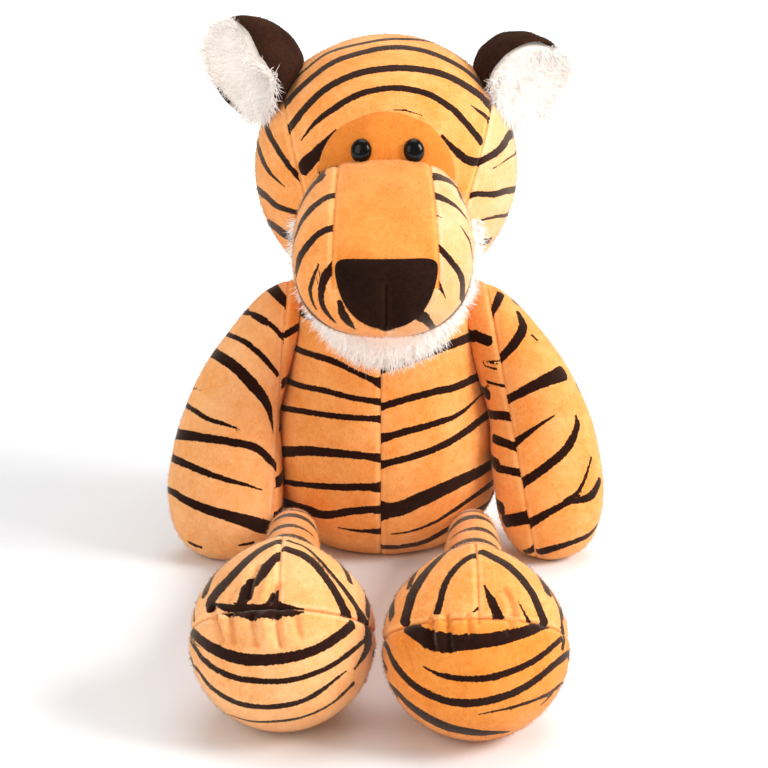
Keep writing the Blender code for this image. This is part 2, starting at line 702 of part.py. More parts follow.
torso, neck = make_torso()
root = add_joint("torso", (0, 0, 0), torso.values())
turn_joint = add_joint("head_turn", (HEAD_X, 0, HEAD_Z), [neck], root)
add_joint("head_nod", (HEAD_X, 0, HEAD_Z), make_head().values(), turn_joint)
for side, sign in SIDES.items():
    shoulder = (sign * SHOULDER_X, 0, SHOULDER_Z)
    toe_out = sign * ARM_TOE_OUT
    add_joint(f"shoulder_{side}", shoulder, make_arm(side, floor, body_room).values(), root, toe_out)
    hip = (sign * HIP_X, HIP_Y, HIP_Z)
    add_joint(f"hip_{side}", hip, make_leg(side, floor, body_room).values(), root)
add_joint("tail_root", (0, TAIL_Y, TAIL_Z), make_tail(floor, body_room).values(), root)
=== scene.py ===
# %% [markdown]
# # A sewn plush tiger
# A soft toy is a set of fabric panels, cut flat, sewn along their edges and stuffed until they are
# tight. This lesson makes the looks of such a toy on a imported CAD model. Each stuffed form is worked
# out as a grid of points, swollen a little by a cloth simulation, creased along its seams, and then
# parted into the panels that the maker would have cut.

import json

import bmesh
import bpy
import numpy as np
from mathutils import Matrix, Vector
from mathutils.bvhtree import BVHTree

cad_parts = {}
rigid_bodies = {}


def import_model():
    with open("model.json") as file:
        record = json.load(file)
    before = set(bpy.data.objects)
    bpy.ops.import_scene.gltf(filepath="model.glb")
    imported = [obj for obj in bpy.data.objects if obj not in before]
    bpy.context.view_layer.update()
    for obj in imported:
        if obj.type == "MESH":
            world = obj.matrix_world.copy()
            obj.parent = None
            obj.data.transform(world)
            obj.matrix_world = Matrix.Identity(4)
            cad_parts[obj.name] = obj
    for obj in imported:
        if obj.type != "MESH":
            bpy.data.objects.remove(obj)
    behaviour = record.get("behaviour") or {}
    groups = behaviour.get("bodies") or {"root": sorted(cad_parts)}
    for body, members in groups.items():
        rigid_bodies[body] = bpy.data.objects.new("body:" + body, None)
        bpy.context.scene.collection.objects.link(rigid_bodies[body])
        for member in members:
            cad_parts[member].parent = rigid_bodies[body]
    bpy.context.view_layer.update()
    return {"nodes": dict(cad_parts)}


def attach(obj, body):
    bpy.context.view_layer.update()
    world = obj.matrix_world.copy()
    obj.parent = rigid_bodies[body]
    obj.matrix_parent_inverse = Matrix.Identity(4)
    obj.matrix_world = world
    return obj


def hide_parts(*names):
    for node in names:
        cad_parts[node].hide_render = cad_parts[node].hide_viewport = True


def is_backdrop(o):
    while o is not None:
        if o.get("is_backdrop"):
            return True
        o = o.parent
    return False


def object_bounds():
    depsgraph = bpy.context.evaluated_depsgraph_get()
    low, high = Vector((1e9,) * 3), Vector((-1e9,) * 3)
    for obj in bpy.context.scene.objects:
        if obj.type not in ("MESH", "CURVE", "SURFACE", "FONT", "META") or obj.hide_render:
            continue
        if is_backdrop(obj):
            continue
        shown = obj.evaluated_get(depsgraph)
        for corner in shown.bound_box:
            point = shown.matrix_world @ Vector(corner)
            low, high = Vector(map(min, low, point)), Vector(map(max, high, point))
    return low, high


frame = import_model()
MM = 0.001
FAR = 6 * MM  # distances to seams and stripes are kept up to here
SIDES = {"left": -1, "right": 1}


def unit(ways):
    """Each vector divided by its length."""
    return ways / np.maximum(np.linalg.norm(ways, axis=-1, keepdims=True), 1e-12)


# %% [markdown]
# ## Camera
# The photograph looks down on the toy by 20 degrees with a long lens, from about a metre away. The
# camera comes first, because the printed stripes are laid on the forms from where they show in the
# photograph: a pixel gives a ray, and the ray gives a point on the plush.

# %% The camera, and the ray through a pixel
PHOTO = 768
FOCAL = 2283  # pixels
EYE_POINT = np.array([0, -1.027, 0.448])
LOOK = np.array([0, 0.9397, -0.3420])
UP = np.array([0, 0.3420, 0.9397])
RIGHT = np.array([1, 0, 0])
SENSOR = 36
scene = bpy.context.scene
camera = bpy.data.objects.new("camera", bpy.data.cameras.new("camera"))
scene.collection.objects.link(camera)
camera.data.sensor_width = SENSOR
camera.data.lens = FOCAL * SENSOR / PHOTO
facing = Vector(LOOK).to_track_quat("-Z", "Y").to_matrix().to_4x4()
camera.matrix_world = Matrix.Translation(EYE_POINT) @ facing
scene.camera = camera


def pixel_ray(x, y):
    """Direction = look + right * (x - 384) / focal + up * (384 - y) / focal."""
    return LOOK + RIGHT * (x - PHOTO / 2) / FOCAL + UP * (PHOTO / 2 - y) / FOCAL


print("lens", round(camera.data.lens, 1), "mm")

# %% [markdown]
# ## Floor and light
# The toy stands on a white sweep under large soft lamps, so that shadows are pale and only dark where
# things touch. The key lamp is at the right, which leaves the left flanks a deeper orange.


# %% Colours, and a function for each kind of node
def linear(code):
    """sRGB hex to linear: c / 12.92 below 0.04045, and ((c + 0.055) / 1.055) ** 2.4 above it."""
    c = np.array([int(code[k : k + 2], 16) for k in (0, 2, 4)]) / 255
    return (*np.where(c <= 0.04045, c / 12.92, ((c + 0.055) / 1.055) ** 2.4), 1)


def add(tree, kind, settings=None, sockets=None):
    """Adds a node with its settings. A socket takes a value, or the output of another node."""
    made = tree.nodes.new(kind)
    for name, value in (settings or {}).items():
        setattr(made, name, value)
    for name, value in (sockets or {}).items():
        if isinstance(value, bpy.types.NodeSocket):
            tree.links.new(value, made.inputs[name])
        else:
            made.inputs[name].default_value = value
    return made


def noise(tree, place, size, **sockets):
    """Noise with clouds about as wide as size."""
    sockets = {"Vector": place, "Scale": 1 / size, **sockets}
    return add(tree, "ShaderNodeTexNoise", sockets=sockets).outputs["Fac"]


def maths(tree, operation, *values, clamp=False):
    """The result of a math node on these values."""
    settings = {"operation": operation, "use_clamp": clamp}
    return add(tree, "ShaderNodeMath", settings, dict(enumerate(values))).outputs[0]


def ramp(tree, value, low, high, start=0.0, end=1.0, shape="LINEAR"):
    """From start to end while the value goes from low to high."""
    sockets = {"Value": value, "From Min": low, "From Max": high, "To Min": start, "To Max": end}
    return add(tree, "ShaderNodeMapRange", {"interpolation_type": shape}, sockets).outputs["Result"]


def mix(tree, share, first, second):
    """The first colour where the share is 0 and the second where it is 1, each a hex code or an output."""
    first, second = (linear(c) if isinstance(c, str) else c for c in (first, second))
    return add(tree, "ShaderNodeMix", {"data_type": "RGBA"}, {0: share, 6: first, 7: second}).outputs[2]


def carried(tree, name, output="Fac"):
    """What the mesh carries as its attribute of this name."""
    return add(tree, "ShaderNodeAttribute", {"attribute_name": name}).outputs[output]


def new_material(name):
    """An empty material, its tree, and the place on the object."""
    material = bpy.data.materials.new(name)
    material.use_nodes = True
    tree = material.node_tree
    tree.nodes.clear()
    return material, tree, add(tree, "ShaderNodeTexCoord").outputs["Object"]


def surface(tree, sockets):
    """Ends a material in a principled surface."""
    skin = add(tree, "ShaderNodeBsdfPrincipled", sockets=sockets)
    add(tree, "ShaderNodeOutputMaterial", sockets={"Surface": skin.outputs["BSDF"]})


# %% The sweep and the lamps
world = bpy.data.worlds.new("studio")
scene.world = world
world.use_nodes = True
world.node_tree.nodes["Background"].inputs["Color"].default_value = linear("FFFCF8")
world.node_tree.nodes["Background"].inputs["Strength"].default_value = 0.5
scene.view_settings.view_transform = "Standard"

paper, tree, place = new_material("white_paper_sweep")
grain = add(tree, "ShaderNodeTexNoise", sockets={"Scale": 300.0}).outputs["Fac"]
# far from the toy the paper is lit until it burns out, as in a studio, and so it glows there a little
away = add(tree, "ShaderNodeVectorMath", {"operation": "LENGTH"}, {0: place}).outputs["Value"]
surface(tree, {
    "Base Color": mix(tree, grain, "EAEEF4", "F0F4F8"), "Roughness": 1.0, "Specular IOR Level": 0.0,
    "Emission Color": linear("FFFFFF"), "Emission Strength": ramp(tree, away, 0.22, 0.8, end=0.75),
})
SWEEP = 9.0
mesh = bpy.data.meshes.new("sweep")
corners = [(-SWEEP, -SWEEP, 0), (SWEEP, -SWEEP, 0), (SWEEP, SWEEP, 0), (-SWEEP, SWEEP, 0)]
mesh.from_pydata(corners, [], [(0, 1, 2, 3)])
mesh.materials.append(paper)
sweep = bpy.data.objects.new("sweep", mesh)
scene.collection.objects.link(sweep)
sweep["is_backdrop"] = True


def lamp(name, place, size, power, colour):
    """A square area lamp that looks at the middle of the toy."""
    light = bpy.data.lights.new(name, "AREA")
    light.size, light.energy = size, power
    light.color = linear(colour)[:3]
    obj = bpy.data.objects.new(name, light)
    obj.location = place
    obj.rotation_mode = "QUATERNION"
    obj.rotation_quaternion = (Vector((0, -0.05, 0.12)) - Vector(place)).to_track_quat("-Z", "Y")
    scene.collection.objects.link(obj)


lamp("key", (1.7, -0.55, 1.2), 0.9, 44, "FFFDFA")
lamp("fill", (-1.3, -1.5, 1.2), 1.4, 15, "FFF8EE")
lamp("top", (0.15, 0.5, 2.0), 1.6, 20, "FFFFFF")

# %% [markdown]
# ## Short-pile plush
# The covers are a knitted polyester velour with a pile of about 2 mm, dyed orange and printed with
# dark brown stripes. Three things tell the eye that it is plush: the fine grain of the pile tips, a
# pale bloom where the pile is seen edge on, and soft cloudy patches where it was brushed another way.
# The stripes come from an attribute that each panel carries: how far a point lies inside the nearest
# stripe, in millimetres. A little noise on that distance gives the ragged edge of print on pile.


# %% A velour shader
def velour(name, deep, tips, stripe=None, sheen="FFEBD8", bloom=0.5):
    """Colour = deep to tips by how the pile lies, or the stripe's two where distance inside + noise > 0."""
    material, tree, place = new_material(name)
    # pile tips are about 0.15 mm apart; drawn at 0.7 mm, as coarse as the render needs to show them
    combed = add(tree, "ShaderNodeMapping", sockets={"Vector": place, "Scale": (1.0, 1.0, 0.55)}).outputs[0]
    tip = noise(tree, combed, 0.7 * MM, Detail=3.0, Roughness=0.65)
    # tufts that lie together, 3 mm, and patches brushed another way, 16 mm
    tuft = noise(tree, place, 3 * MM, Detail=2.0, Distortion=0.6)
    brushed = noise(tree, place, 16 * MM, Detail=2.0)
    depth = maths(tree, "MULTIPLY_ADD", tuft, 0.3, maths(tree, "MULTIPLY", tip, 0.5))
    depth = maths(tree, "MULTIPLY_ADD", brushed, 0.5, depth)
    # 1 to 2 mm from a seam the pile is bent over by the turned cloth, and shows more of its pale tips
    seam = carried(tree, "seam")
    bent = maths(tree, "MULTIPLY", ramp(tree, seam, 0.3, 1.1, end=0.55), ramp(tree, seam, 1.3, 2.6, 1.0, 0.0))
    lie = maths(tree, "ADD", ramp(tree, depth, 0.45, 0.85), bent, clamp=True)
    colour = mix(tree, lie, deep, tips)
    if stripe:
        # X is the distance beside the stripe's line, Y its half width there, and Z the plain distance
        mark = add(tree, "ShaderNodeSeparateXYZ", sockets={0: carried(tree, "stripe", "Vector")}).outputs
        across = maths(tree, "SUBTRACT", mark["Y"], maths(tree, "ABSOLUTE", mark["X"]))
        along = maths(tree, "ADD", maths(tree, "SUBTRACT", mark["Y"], mark["Z"]), 0.6)
        edge = maths(tree, "MINIMUM", across, along)
        edge = maths(tree, "MULTIPLY_ADD", noise(tree, combed, 0.8 * MM, Detail=2.0), 1.1, edge)
        edge = maths(tree, "MULTIPLY_ADD", noise(tree, place, 5 * MM, Detail=1.0), 0.7, edge)
        colour = mix(tree, ramp(tree, edge, 0.74, 1.06, shape="SMOOTHSTEP"), colour, mix(tree, lie, *stripe))
    bump = add(tree, "ShaderNodeBump", sockets={"Height": depth, "Strength": 0.5, "Distance": 0.7 * MM})
    surface(tree, {
        "Base Color": colour, "Roughness": 0.9, "Specular IOR Level": 0.06, "Normal": bump.outputs[0],
        "Sheen Weight": bloom, "Sheen Roughness": 0.45, "Sheen Tint": linear(sheen),
    })
    return material


STRIPE = ("190603", "2B1007")
striped = velour("striped_polyester_velour", "E88A35", "F9B26E", STRIPE, bloom=0.32)
# painted light: a paler copy that paints the front light on the left arm's outer panel; the left foot uses it
# too
pale_striped = velour("pale_striped_polyester_velour", "EC9A50", "FAC088", STRIPE, bloom=0.35)
toe_striped = velour("toe_striped_polyester_velour", "DE7C28", "F09C4A", STRIPE, bloom=0.3)
# painted light: the striped velour made paler for the panels on the right, where the key lamp falls
key_lit_striped = velour("key_lit_striped_polyester_velour", "F0A866", "F9C496", STRIPE, bloom=0.45)
plain = velour("plain_polyester_velour", "E27E2C", "F09C50", bloom=0.4)
patch_cloth = velour("amber_polyester_velour", "CE7224", "E28A3A", bloom=0.35)
dark = velour("dark_brown_polyester_velour", "1E0E08", "3C2216", sheen="9A7862", bloom=0.1)
nose_cloth = velour("nose_brown_polyester_velour", "150B07", "2B1810", sheen="8A6A55", bloom=0.03)
print("plush materials:", [m.name for m in bpy.data.materials if "velour" in m.name])

# %% [markdown]
# ## Forms as functions of two parameters
# Every stuffed form is a closed skin. One parameter, the place, runs from its low pole (0) to its
# high pole (1), and the other, the turn, goes once round it. The tables of shares are those of the
# CAD model, here joined by smooth curves.


# %% Smooth tables and rounded boxes
def curve(at, shares):
    """Catmull-Rom curve through evenly spaced shares: in each span a cubic of the four shares around it."""
    shares = np.asarray(shares, float)
    spot = np.clip(at, 0, 1) * (len(shares) - 1)
    first = np.minimum(spot.astype(int), len(shares) - 2)
    t = spot - first
    longer = np.concatenate([[2 * shares[0] - shares[1]], shares, [2 * shares[-1] - shares[-2]]])
    p0, p1, p2, p3 = (longer[first + k] for k in range(4))
    return p1 + 0.5 * t * (p2 - p0 + t * (2 * p0 - 5 * p1 + 4 * p2 - p3 + t * (3 * (p1 - p2) + p3 - p0)))


def unit_ball(place, turn):
    """x = sin(pi place) cos(turn), y = sin(pi place) sin(turn), z = -cos(pi place)."""
    ring = np.sin(np.pi * place)
    return np.stack([ring * np.cos(turn), ring * np.sin(turn), -np.cos(np.pi * place)], axis=1)


def rounded_box(units, power):
    """Each direction is divided by (|x|^p + |y|^p + |z|^p)^(1/p): power 2 is a ball, more is boxier."""
    return units / (np.abs(units) ** power).sum(axis=1, keepdims=True) ** (1 / power)


def ripple(points, size, seed):
    """Lumps about as wide as size: the mean of eight sine waves in seeded directions, from -1 to 1."""
    random = np.random.default_rng(seed)
    ways = random.normal(size=(3, 8))
    ways *= 2 * np.pi / size / np.linalg.norm(ways, axis=0)
    return np.sin(points @ ways + random.uniform(0, 6.28, 8)).mean(axis=1) * 1.6


# %% The grid of a closed form, its normals and its volume
def grid_of(form, columns, rows):
    """Points and triangles: a pole, rows of columns points, and a pole, each quad split in two."""
    place, turn = np.meshgrid(
        np.arange(1, rows) / rows, np.arange(columns) * 2 * np.pi / columns, indexing="ij"
    )
    place = np.concatenate([[0], place.ravel(), [1]])
    turn = np.concatenate([[0], turn.ravel(), [0]])
    points = form(place, turn)
    here = 1 + np.arange((rows - 1) * columns).reshape(rows - 1, columns)
    beside = np.roll(here, -1, axis=1)
    a, b, c, d = here[:-1], beside[:-1], beside[1:], here[1:]
    last = np.full(columns, len(points) - 1)
    faces = np.concatenate([
        np.stack([a.ravel(), b.ravel(), c.ravel()], 1),
        np.stack([a.ravel(), c.ravel(), d.ravel()], 1),
        np.stack([np.zeros(columns, int), beside[0], here[0]], 1),
        np.stack([last, here[-1], beside[-1]], 1),
    ])
    return points, facing_out(points, faces)


def facing_out(points, faces):
    """Faces in the order that makes the volume, the sum of a . (b x c) / 6, positive."""
    a, b, c = points[faces].transpose(1, 0, 2)
    return faces if (a * np.cross(b, c)).sum() > 0 else faces[:, ::-1]


def normals_of(points, faces):
    """At each point, the sum of its triangles' area vectors, made one long."""
    a, b, c = points[faces].transpose(1, 0, 2)
    flat = np.repeat(np.cross(b - a, c - a), 3, axis=0)
    return unit(np.stack([np.bincount(faces.ravel(), flat[:, k], len(points)) for k in range(3)], 1))


def mesh_object(name, points, faces, material, attributes=None, crease=55, normals=None):
    """A mesh at the origin with its own attributes, smooth except over edges sharper than crease."""
    mesh = bpy.data.meshes.new(name)
    mesh.from_pydata(points.tolist(), [], faces.tolist())
    for key, values in (attributes or {}).items():
        kind, field = ("FLOAT", "value") if values.ndim == 1 else ("FLOAT_VECTOR", "vector")
        values = np.ascontiguousarray(values, np.float32).ravel()
        mesh.attributes.new(key, kind, "POINT").data.foreach_set(field, values)
    mesh.materials.append(material)
    mesh.shade_smooth()
    mesh.set_sharp_from_angle(angle=np.radians(crease))
    if normals is not None:
        mesh.normals_split_custom_set_from_vertices(normals.tolist())
    obj = bpy.data.objects.new(name, mesh)
    scene.collection.objects.link(obj)
    return obj


# %% [markdown]
# ## Stuffing as pressure
# Stuffing presses a cover outwards everywhere, while the seams hold it back. That is what Blender's
# Cloth does with a pressure inside and the seam lines pinned. A coarse voxel copy is simulated for 20
# frames, and its moves are then spread over the fine grid with a bell-shaped weight.


# %% Simulate a coarse copy and spread its moves
VOXEL = 4.5 * MM
FRAMES = 20
AT_ONCE = 5000  # points in one batch, so that tables of distances stay small


def swell(points, faces, held, most):
    """Rest places and moves of a coarse copy under pressure. held gives the points that seams pin."""
    mesh = bpy.data.meshes.new("swelling")
    mesh.from_pydata(points.tolist(), [], faces.tolist())
    obj = bpy.data.objects.new("swelling", mesh)
    scene.collection.objects.link(obj)
    voxels = obj.modifiers.new("voxels", "REMESH")
    voxels.mode, voxels.voxel_size = "VOXEL", VOXEL
    graph = bpy.context.evaluated_depsgraph_get()
    coarse = bpy.data.meshes.new_from_object(obj.evaluated_get(graph))
    obj.modifiers.clear()
    obj.data = coarse
    rest = np.empty(len(coarse.vertices) * 3)
    coarse.vertices.foreach_get("co", rest)
    rest = rest.reshape(-1, 3)
    pins = obj.vertex_groups.new(name="sewn")
    pins.add(np.flatnonzero(held(rest)).tolist(), 1, "REPLACE")
    cloth = obj.modifiers.new("cloth", "CLOTH")
    cloth.settings.use_pressure = True
    cloth.settings.uniform_pressure_force = 4
    cloth.settings.effector_weights.gravity = 0
    cloth.settings.vertex_group_mass = "sewn"
    for number in range(1, FRAMES + 1):
        scene.frame_set(number)
    moved = np.empty(rest.size)
    obj.evaluated_get(bpy.context.evaluated_depsgraph_get()).data.vertices.foreach_get("co", moved)
    move = moved.reshape(-1, 3) - rest
    length = np.linalg.norm(move, axis=1, keepdims=True)
    bpy.data.objects.remove(obj)
    scene.frame_set(1)
    return rest, move * np.minimum(1, most / np.maximum(length, 1e-9)), length.max()


def spread(points, rest, move, reach):
    """move at each point = sum of w * move / sum of w, with w = exp(-distance^2 / (2 reach^2))."""
    moved = np.empty_like(points)
    for start in range(0, len(points), AT_ONCE):
        part = points[start : start + AT_ONCE]
        gap = (part**2).sum(1)[:, None] + (rest**2).sum(1) - 2 * part @ rest.T
        weight = np.exp(-gap / (2 * reach**2))
        moved[start : start + AT_ONCE] = weight @ move / weight.sum(1, keepdims=True)
    return moved


# %% [markdown]
# ## Seams
# A seam is a valley: both panels turn inwards and meet at the thread, and the pile closes over it.
# Extra cuts beside each seam plane give the mesh points to bend there. Small puckers cross the seam,
# because thread is always a little tighter than the cloth.


# %% Cut along a plane, crease it, and keep its distance
SEAM_DEPTH = 1.0 * MM
SEAM_WIDTH = 1.1 * MM
BESIDE_SEAM = np.array([-2.6, -1.3, -0.55, 0, 0.55, 1.3, 2.6]) * MM


class Seam:
    """A seam in a plane, real only on the side of a second plane that its limit looks to."""

    def __init__(self, point, normal, limit=None, depth=SEAM_DEPTH):
        self.point, self.depth, self.limit = np.array(point, float), depth, limit
        self.normal = unit(np.array(normal, float))

    def side(self, points):
        """Signed distance to the plane: (point - place) . normal."""
        return (points - self.point) @ self.normal

    def distance(self, points):
        """Distance to the sewn line, which ends at the limit plane."""
        away = np.abs(self.side(points))
        if self.limit is None:
            return away
        return np.hypot(away, np.minimum((points - self.limit[0]) @ self.limit[1], 0))


def cut_along(points, faces, seams):
    """The same skin with edges on each seam plane and beside it."""
    mesh = bpy.data.meshes.new("cutting")
    mesh.from_pydata(points.tolist(), [], faces.tolist())
    skin = bmesh.new()
    skin.from_mesh(mesh)
    for seam in seams:
        for step in BESIDE_SEAM:
            bmesh.ops.bisect_plane(
                skin, geom=skin.verts[:] + skin.edges[:] + skin.faces[:], dist=1e-6,
                plane_co=Vector(seam.point + seam.normal * step), plane_no=Vector(seam.normal),
            )
    bmesh.ops.triangulate(skin, faces=skin.faces[:])
    skin.to_mesh(mesh)
    skin.free()
    points = np.empty(len(mesh.vertices) * 3)
    mesh.vertices.foreach_get("co", points)
    faces = np.empty(len(mesh.polygons) * 3, np.int32)
    mesh.polygons.foreach_get("vertices", faces)
    bpy.data.meshes.remove(mesh)
    return points.reshape(-1, 3), faces.reshape(-1, 3)


def crease(points, faces, seams, seed):
    """Moves points in along their normals by depth * (exp(-d / width) + puckers that fade over 4 mm)."""
    inward = np.zeros(len(points))
    near = np.full(len(points), FAR)
    for number, seam in enumerate(seams):
        away = seam.distance(points)
        near = np.minimum(near, away)
        pucker = ripple(points, 7 * MM, seed + number) * np.exp(-away / (4 * MM)) * 0.3
        inward += seam.depth * (np.exp(-away / SEAM_WIDTH) + pucker)
    return points - normals_of(points, faces) * inward[:, None], near / MM


# %% [markdown]
# ## Stripes from the photograph
# A stripe is a path on the plush with a width that swells and tapers. Its points were chosen on the
# photograph, and where it goes on round a side that the photograph doesn't show, by place and turn
# on the form. The path is a smooth curve through them, drawn back onto the skin.


# %% Paths on a skin, and the distance inside the nearest one
def smooth_path(knots, step):
    """Catmull-Rom curve through the knots, one point for each step of the way."""
    count = max(2, int(np.linalg.norm(np.diff(knots, axis=0), axis=1).sum() / step) + 1)
    at = np.linspace(0, 1, count)
    if len(knots) == 2:
        return knots[0] + (knots[1] - knots[0]) * at[:, None]
    return np.stack([curve(at, column) for column in knots.T], axis=1)


class Skin:
    """A form's skin that rays and points can be laid on."""

    def __init__(self, points, faces, form):
        self.tree = BVHTree.FromPolygons(points.tolist(), faces.tolist())
        self.form, self.middle = form, points.mean(axis=0)

    def from_pixel(self, x, y):
        """Where the ray through a pixel meets the skin, or else the nearest point of the skin to it."""
        ray = pixel_ray(x, y)
        hit = self.tree.ray_cast(Vector(EYE_POINT), Vector(ray))[0]
        if hit is None:
            near = EYE_POINT + ray * ((self.middle - EYE_POINT) @ LOOK)
            hit = self.tree.find_nearest(Vector(near))[0]
        return np.array(hit)

    def from_turn(self, turn, place):
        """The skin's point at a turn in degrees and a place from 0 to 1."""
        return self.form(np.array([place], float), np.radians([float(turn)]))[0]

    def pixel_across(self, line):
        """What a pixel covers across a path: depth / focal / the seen length of (way x normal)."""
        normal = np.array([self.tree.find_nearest(Vector(spot))[1] for spot in line])
        look = line - EYE_POINT
        size = look @ LOOK / FOCAL
        look = unit(look)
        way = np.gradient(line, axis=0)
        across = np.cross(unit(way), normal)
        way, across = (v - (v * look).sum(1, keepdims=True) * look for v in (way, across))
        way = unit(way)
        seen = np.linalg.norm(across - (across * way).sum(1, keepdims=True) * way, axis=1)
        # where the skin looks away from the camera the widths are real ones
        seen = np.where((normal * look).sum(1) < 0, np.clip(seen, 0.45, 1), 1)
        return size / np.convolve(np.pad(seen, 3, mode="edge"), np.ones(7) / 7, mode="valid")

    def path(self, seen, unseen=()):
        """Seen pixels and then unseen (turn, place) pairs as one curve on the skin."""
        knots = [self.from_pixel(*spot) for spot in smooth_path(np.array(seen, float), 8)] if seen else []
        knots += [self.from_turn(*spot) for spot in unseen]
        line = smooth_path(np.array(knots), 2 * MM)
        return np.array([self.tree.find_nearest(Vector(spot))[0] for spot in line])


def beside_path(points, normals, line, half_widths, reach=FAR):
    """Three values for each point within reach of the path: its distance to the side of the nearest
    stretch, (way x normal) . offset, half the path's width there, and its plain distance."""
    found = np.tile([reach, 0, reach], (len(points), 1))
    margin = reach + half_widths.max()
    close = ((points > line.min(0) - margin) & (points < line.max(0) + margin)).all(axis=1)
    close = np.flatnonzero(close)
    start, step = line[:-1], np.diff(line, axis=0)
    length = np.maximum((step**2).sum(1), 1e-12)
    for first in range(0, len(close), AT_ONCE):
        part = close[first : first + AT_ONCE]
        away = points[part, None] - start
        along = np.clip((away * step).sum(2) / length, 0, 1)
        gap = np.linalg.norm(away - along[:, :, None] * step, axis=2)
        half = half_widths[:-1] + along * np.diff(half_widths)
        best, row = (half - gap).argmax(axis=1), np.arange(len(part))
        across = np.cross(step[best] / np.sqrt(length[best])[:, None], normals[part])
        aside = (across * away[row, best]).sum(1)
        found[part] = np.stack([aside, half[row, best], gap[row, best]], axis=1)
    return found


def stripe_distance(skin, points, normals, stripes):
    """beside_path of each point's nearest stripe, in mm. A stripe is (widths in pixels, seen, unseen)."""
    best = np.tile([FAR, 0, FAR], (len(points), 1))
    for widths, *ways in stripes:
        line = skin.path(*ways)
        spots = np.linspace(0, 1, len(line))
        half = np.interp(spots, np.linspace(0, 1, len(widths)), widths) / 2
        here = beside_path(points, normals, line, half * skin.pixel_across(line))
        nearer = here[:, 1] - here[:, 2] > best[:, 1] - best[:, 2]
        best = np.where(nearer[:, None], here, best)
    return best / MM


# %% Panels: the part of a skin that one piece of cloth covers
def panel(name, skin_points, skin_faces, chosen, core, material, attributes):
    """The chosen triangles, closed by a cone from their open edge to a point in the stuffing."""
    faces = skin_faces[chosen]
    edges = np.concatenate([faces[:, [0, 1]], faces[:, [1, 2]], faces[:, [2, 0]]])
    key = np.sort(edges, axis=1) @ [len(skin_points), 1]
    _, first, count = np.unique(key, return_index=True, return_counts=True)
    rim = edges[first[count == 1]]
    cone = np.stack([rim[:, 1], rim[:, 0], np.full(len(rim), len(skin_points))], axis=1)
    points = np.concatenate([skin_points, [core]])
    faces = np.concatenate([faces, cone])
    used, packed = np.unique(faces, return_inverse=True)
    far = FAR / MM
    values = {key: np.concatenate([value, value[:1] * 0 + far])[used] for key, value in attributes.items()}
    return mesh_object(name, points[used], packed.reshape(-1, 3), material, values)


def centres(points, faces):
    """The middle of each triangle."""
    return points[faces].mean(axis=1)


def skin_of(form, points, faces, near=None):
    """A skin as covers take it: its points, faces and distances to seams in mm, and what paths lie on."""
    near = np.full(len(points), FAR / MM) if near is None else near
    return points, faces, near, Skin(points, faces, form)


def sewn(form, grid, seams, lumps, seed, cap=1.5 * MM, press=None):
    """A skin made from a grid by cloth pressure, lumps of stuffing and its seams."""
    points, faces = grid_of(form, *grid)
    coarse = grid_of(form, grid[0] // 3, grid[1] // 3)
    held = lambda spots: np.min([seam.distance(spots) for seam in seams], 0) < VOXEL * 0.8
    rest, move, most = swell(*coarse, held, cap)
    moved, out = spread(points, rest, move, 5 * MM), normals_of(points, faces)
    # the form swells between its seams and draws in along them, but keeps its mean size
    points = points + moved - out * (moved * out).sum(1).mean()
    print(f"  swelled by up to {most / MM:.1f} mm, kept to {cap / MM:.1f} mm")
    points, faces = cut_along(points, faces, seams)
    bulk = ripple(points, 42 * MM, seed) * 0.7 + ripple(points, 17 * MM, seed + 50) * 0.25
    points = points + normals_of(points, faces) * (lumps * bulk)[:, None]
    points, near = crease(points, faces, seams, seed)
    return skin_of(form, points if press is None else press(points), faces, near)


# %% [markdown]
# ## Tips of the pile
# Against the light, and along every outline, plush shows a thin fuzz of single tips. A shader can't
# give an outline fuzz, so each cover also grows a sparse coat of real tips. They carry the cover's own
# stripes and its shading normals, so that they only show where they stand past it.

# %% Grow tips on a panel
TIPS = 0.55  # for each square mm; the real pile has some 40
TIP_LENGTH, TIP_RADIUS = 1.15 * MM, 0.085 * MM


def thirds(way, random):
    """Three directions round each way: side * cos(t) + (way x side) * sin(t), t = 0, 120 and 240 degrees."""
    side = unit(np.cross(way, random.normal(size=way.shape)))
    turn = (np.arange(3) * 2 * np.pi / 3)[None, :, None]
    return side[:, None] * np.cos(turn) + np.cross(way, side)[:, None] * np.sin(turn)


def pile_tips(name, points, faces, values, material, body):
    """Closed spikes: three points round each root and a tip at root + (normal + lean) * length."""
    random = np.random.default_rng(len(points))
    # none under the toy, where they would go through what it sits on
    faces = faces[points[faces][:, :, 2].min(axis=1) > 2.2 * MM]
    if not len(faces):
        return 0
    a, b, c = points[faces].transpose(1, 0, 2)
    size = np.linalg.norm(np.cross(b - a, c - a), axis=1) / 2
    count = int(size.sum() / MM**2 * TIPS)
    picked = faces[random.choice(len(faces), count, p=size / size.sum())]
    share = random.dirichlet((1, 1, 1), count)
    root, out = ((v[picked] * share[:, :, None]).sum(1) for v in (points, normals_of(points, faces)))
    way = unit(out + [0, 0, -0.3] + random.normal(0, 0.4, out.shape))
    around = thirds(way, random)
    base = (root - out * 0.1 * MM)[:, None] + around * TIP_RADIUS
    tips = root + way * TIP_LENGTH * random.uniform(0.6, 1.3, (count, 1))
    spikes = np.concatenate([base, tips[:, None]], axis=1).reshape(-1, 3)
    one = np.array([(0, 1, 3), (1, 2, 3), (2, 0, 3), (0, 2, 1)])
    corners = (one[None] + 4 * np.arange(count)[:, None, None]).reshape(-1, 3)
    own = {}
    for key, value in values.items():
        wide = share if value.ndim == 1 else share[:, :, None]
        own[key] = np.repeat((value[picked] * wide).sum(1), 4, axis=0)
    obj = mesh_object(f"{name}_tips", spikes, corners, material, own, 180, np.repeat(out, 4, axis=0))
    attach(obj, body)
    return count


